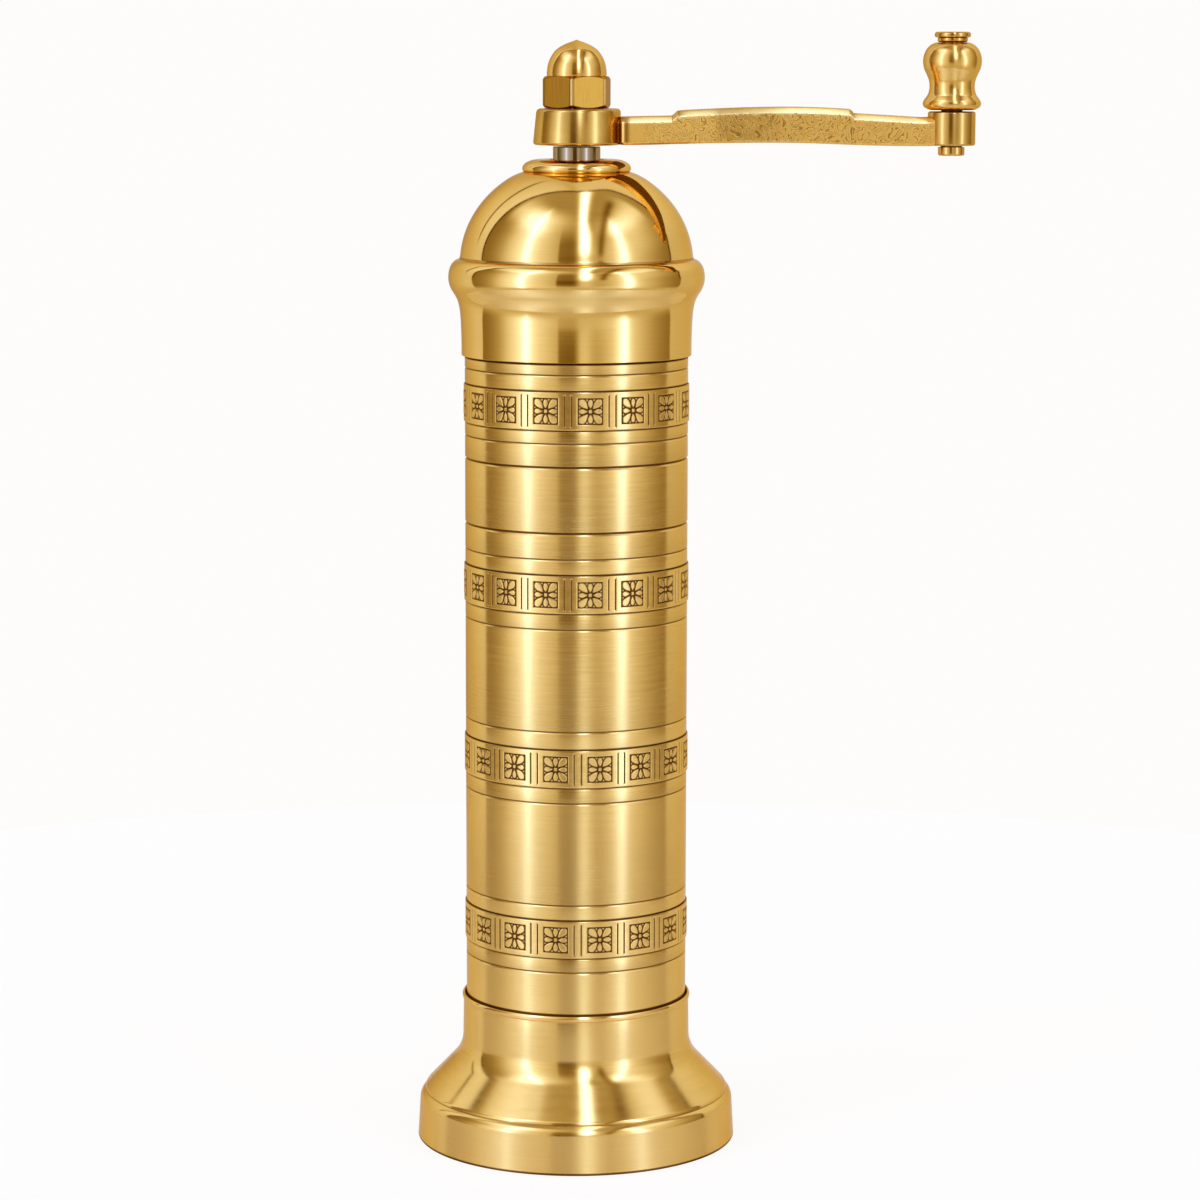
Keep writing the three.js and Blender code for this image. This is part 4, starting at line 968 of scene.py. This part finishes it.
def brushed_flats(name):
    """The hexagon's flats, drawn over emery upwards: noise that is short round the nut and long up it."""
    # Painted shade: the flats get a darker copy of the nut's brass.
    shaded_flat_colour = (0.5, 0.225, 0.022)
    # Dark brown of the painted shade lines, and pale brass of worn corners that also stands for a painted
    # highlight.
    painted_shade_dark = (0.16, 0.06, 0.008)
    rubbed_and_highlight = (0.95, 0.64, 0.24)
    edge = (0.8, 0.5, 0.2)
    lines_a_radian, line_length, line_depth = 22, 0.006, 0.00003
    material, bench = new_finish(name)
    x, y, z = bench.parts(place_on(bench))
    upwards = bench.vector(bench.maths("ARCTAN2", x, y) * lines_a_radian, z / line_length, 0.0)
    lines = noise(bench, upwards, 1.0, 4.0, rough=0.7)
    brushed = shaded(bench, shaded_flat_colour, 1 + (lines - 0.5) * 0.5)
    # Painted shade lines beside the corners, then wear with a painted highlight on the corners.
    shown = mixed(bench, marked(bench, "painted_shade_and_blackening"), brushed, painted_shade_dark)
    shown = mixed(bench, marked(bench, "wear_and_highlight"), shown, rubbed_and_highlight)
    normal = bumped(bench, lines, 0.3, line_depth)
    metal(bench, shown, 0.15 + (lines - 0.5) * 0.12, normal, gloss=0.5, edge=edge)
    return material


nut_dome_bottom = 221.2
nut_dome_side = through([
    [6.05, nut_dome_bottom], [6.12, 221.8], [6.1, 222.3], [5.98, 223.25], [5.74, 224.25], [5.25, 225.35],
    [4.45, 226.5], [3.65, 227.17], [2.67, 227.75], [1.6, 228.2], [0.75, 228.5], [0.3, 228.68],
    [0.0, 228.8],
], 8)
nut_dome_line = np.concatenate([[[0, nut_dome_bottom]], nut_dome_side])
fitted(nut_body("acorn_nut_hexagon"), brushed_flats("nut_flats"), "top_nut", "brass_polished", "acorn_nut")
nut_polish = tooled_brass("nut_polish", knob_colour, rough=0.13, streaks=0.4, gloss=0.4, pitch=0.25)
fitted(turned("acorn_nut_dome", nut_dome_line, sides=160), nut_polish, "top_nut", "brass_polished")


# Spring: blued steel wire wound nine times round the spindle, with its end curls laid flat. It stands
# on the washer and presses up under the bridge; in the real mill it shortens as the spindle rises.
spring_mean_radius = 6.1
spring_wire_radius = 0.6
spring_bottom = 132.21
spring_top = 158.19
spring_curls = 9
spring_flat_end = 0.6  # of a curl


def wound_wire(name, steps=36, sides=14):
    """A round wire along a coil. Its middle lies at mean radius * (cos, sin) of the winding angle and
    climbs evenly between the two flat ends; round it a ring of points goes outwards and upwards."""
    share = np.linspace(0, 1, spring_curls * steps + 1)[:, None]
    angle = share * spring_curls * 2 * math.pi
    climb = np.clip((share * spring_curls - spring_flat_end) / (spring_curls - 2 * spring_flat_end), 0, 1)
    lowest = spring_bottom + spring_wire_radius
    height = lowest + climb * (spring_top - spring_wire_radius - lowest)
    round_wire = np.linspace(0, 2 * math.pi, sides, endpoint=False)[None, :]
    reach = spring_mean_radius + spring_wire_radius * np.cos(round_wire)
    rise = height + spring_wire_radius * np.sin(round_wire)
    points = np.stack([reach * np.cos(angle), reach * np.sin(angle), rise], -1)
    return skin(name, closed_ends(points), closed_rows=False)


spring_colour = (0.33, 0.3, 0.27)
spring_blue = tooled_brass("spring_blue", spring_colour, rough=0.3, streaks=0.3, gloss=0.0)
spring_piece = fitted(wound_wire("wound_spring"), spring_blue, "mill_body", "steel_spring", "spring")
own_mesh(spring_piece)


# Inner pieces: they only show when the mill is opened or turned over, and keep their CAD shape. Spindle,
# ball, washer and screws are bright steel, the clip blued and the burrs dark hard steel, the rest brass.
steel_colour = (0.5, 0.42, 0.28)
burr_colour = (0.3, 0.295, 0.29)
steel_inside = tooled_brass("steel_inside", steel_colour, rough=0.22, streaks=0.7, gloss=0.3)
burr_dark = cast_brass("burr_dark", burr_colour, rough=0.42)
inside_cast = cast_brass("inside_cast", cast_colour, rough=0.36)
inside_finishes = {
    "spindle": steel_inside, "spring_seat": steel_inside, "thrust_ball": steel_inside,
    "bridge_screw_right": steel_inside, "bridge_screw_left": steel_inside, "burr_nut": steel_inside,
    "retaining_clip": spring_blue, "inner_burr": burr_dark, "outer_burr": burr_dark,
    "lower_bridge": inside_cast, "adjusting_screw": inside_cast, "lock_nut": inside_cast,
    "upper_bush": inside_cast, "upper_bridge": tube_satin,
}
for node_name, finish in inside_finishes.items():
    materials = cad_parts[node_name].data.materials
    materials.clear()
    materials.append(finish)
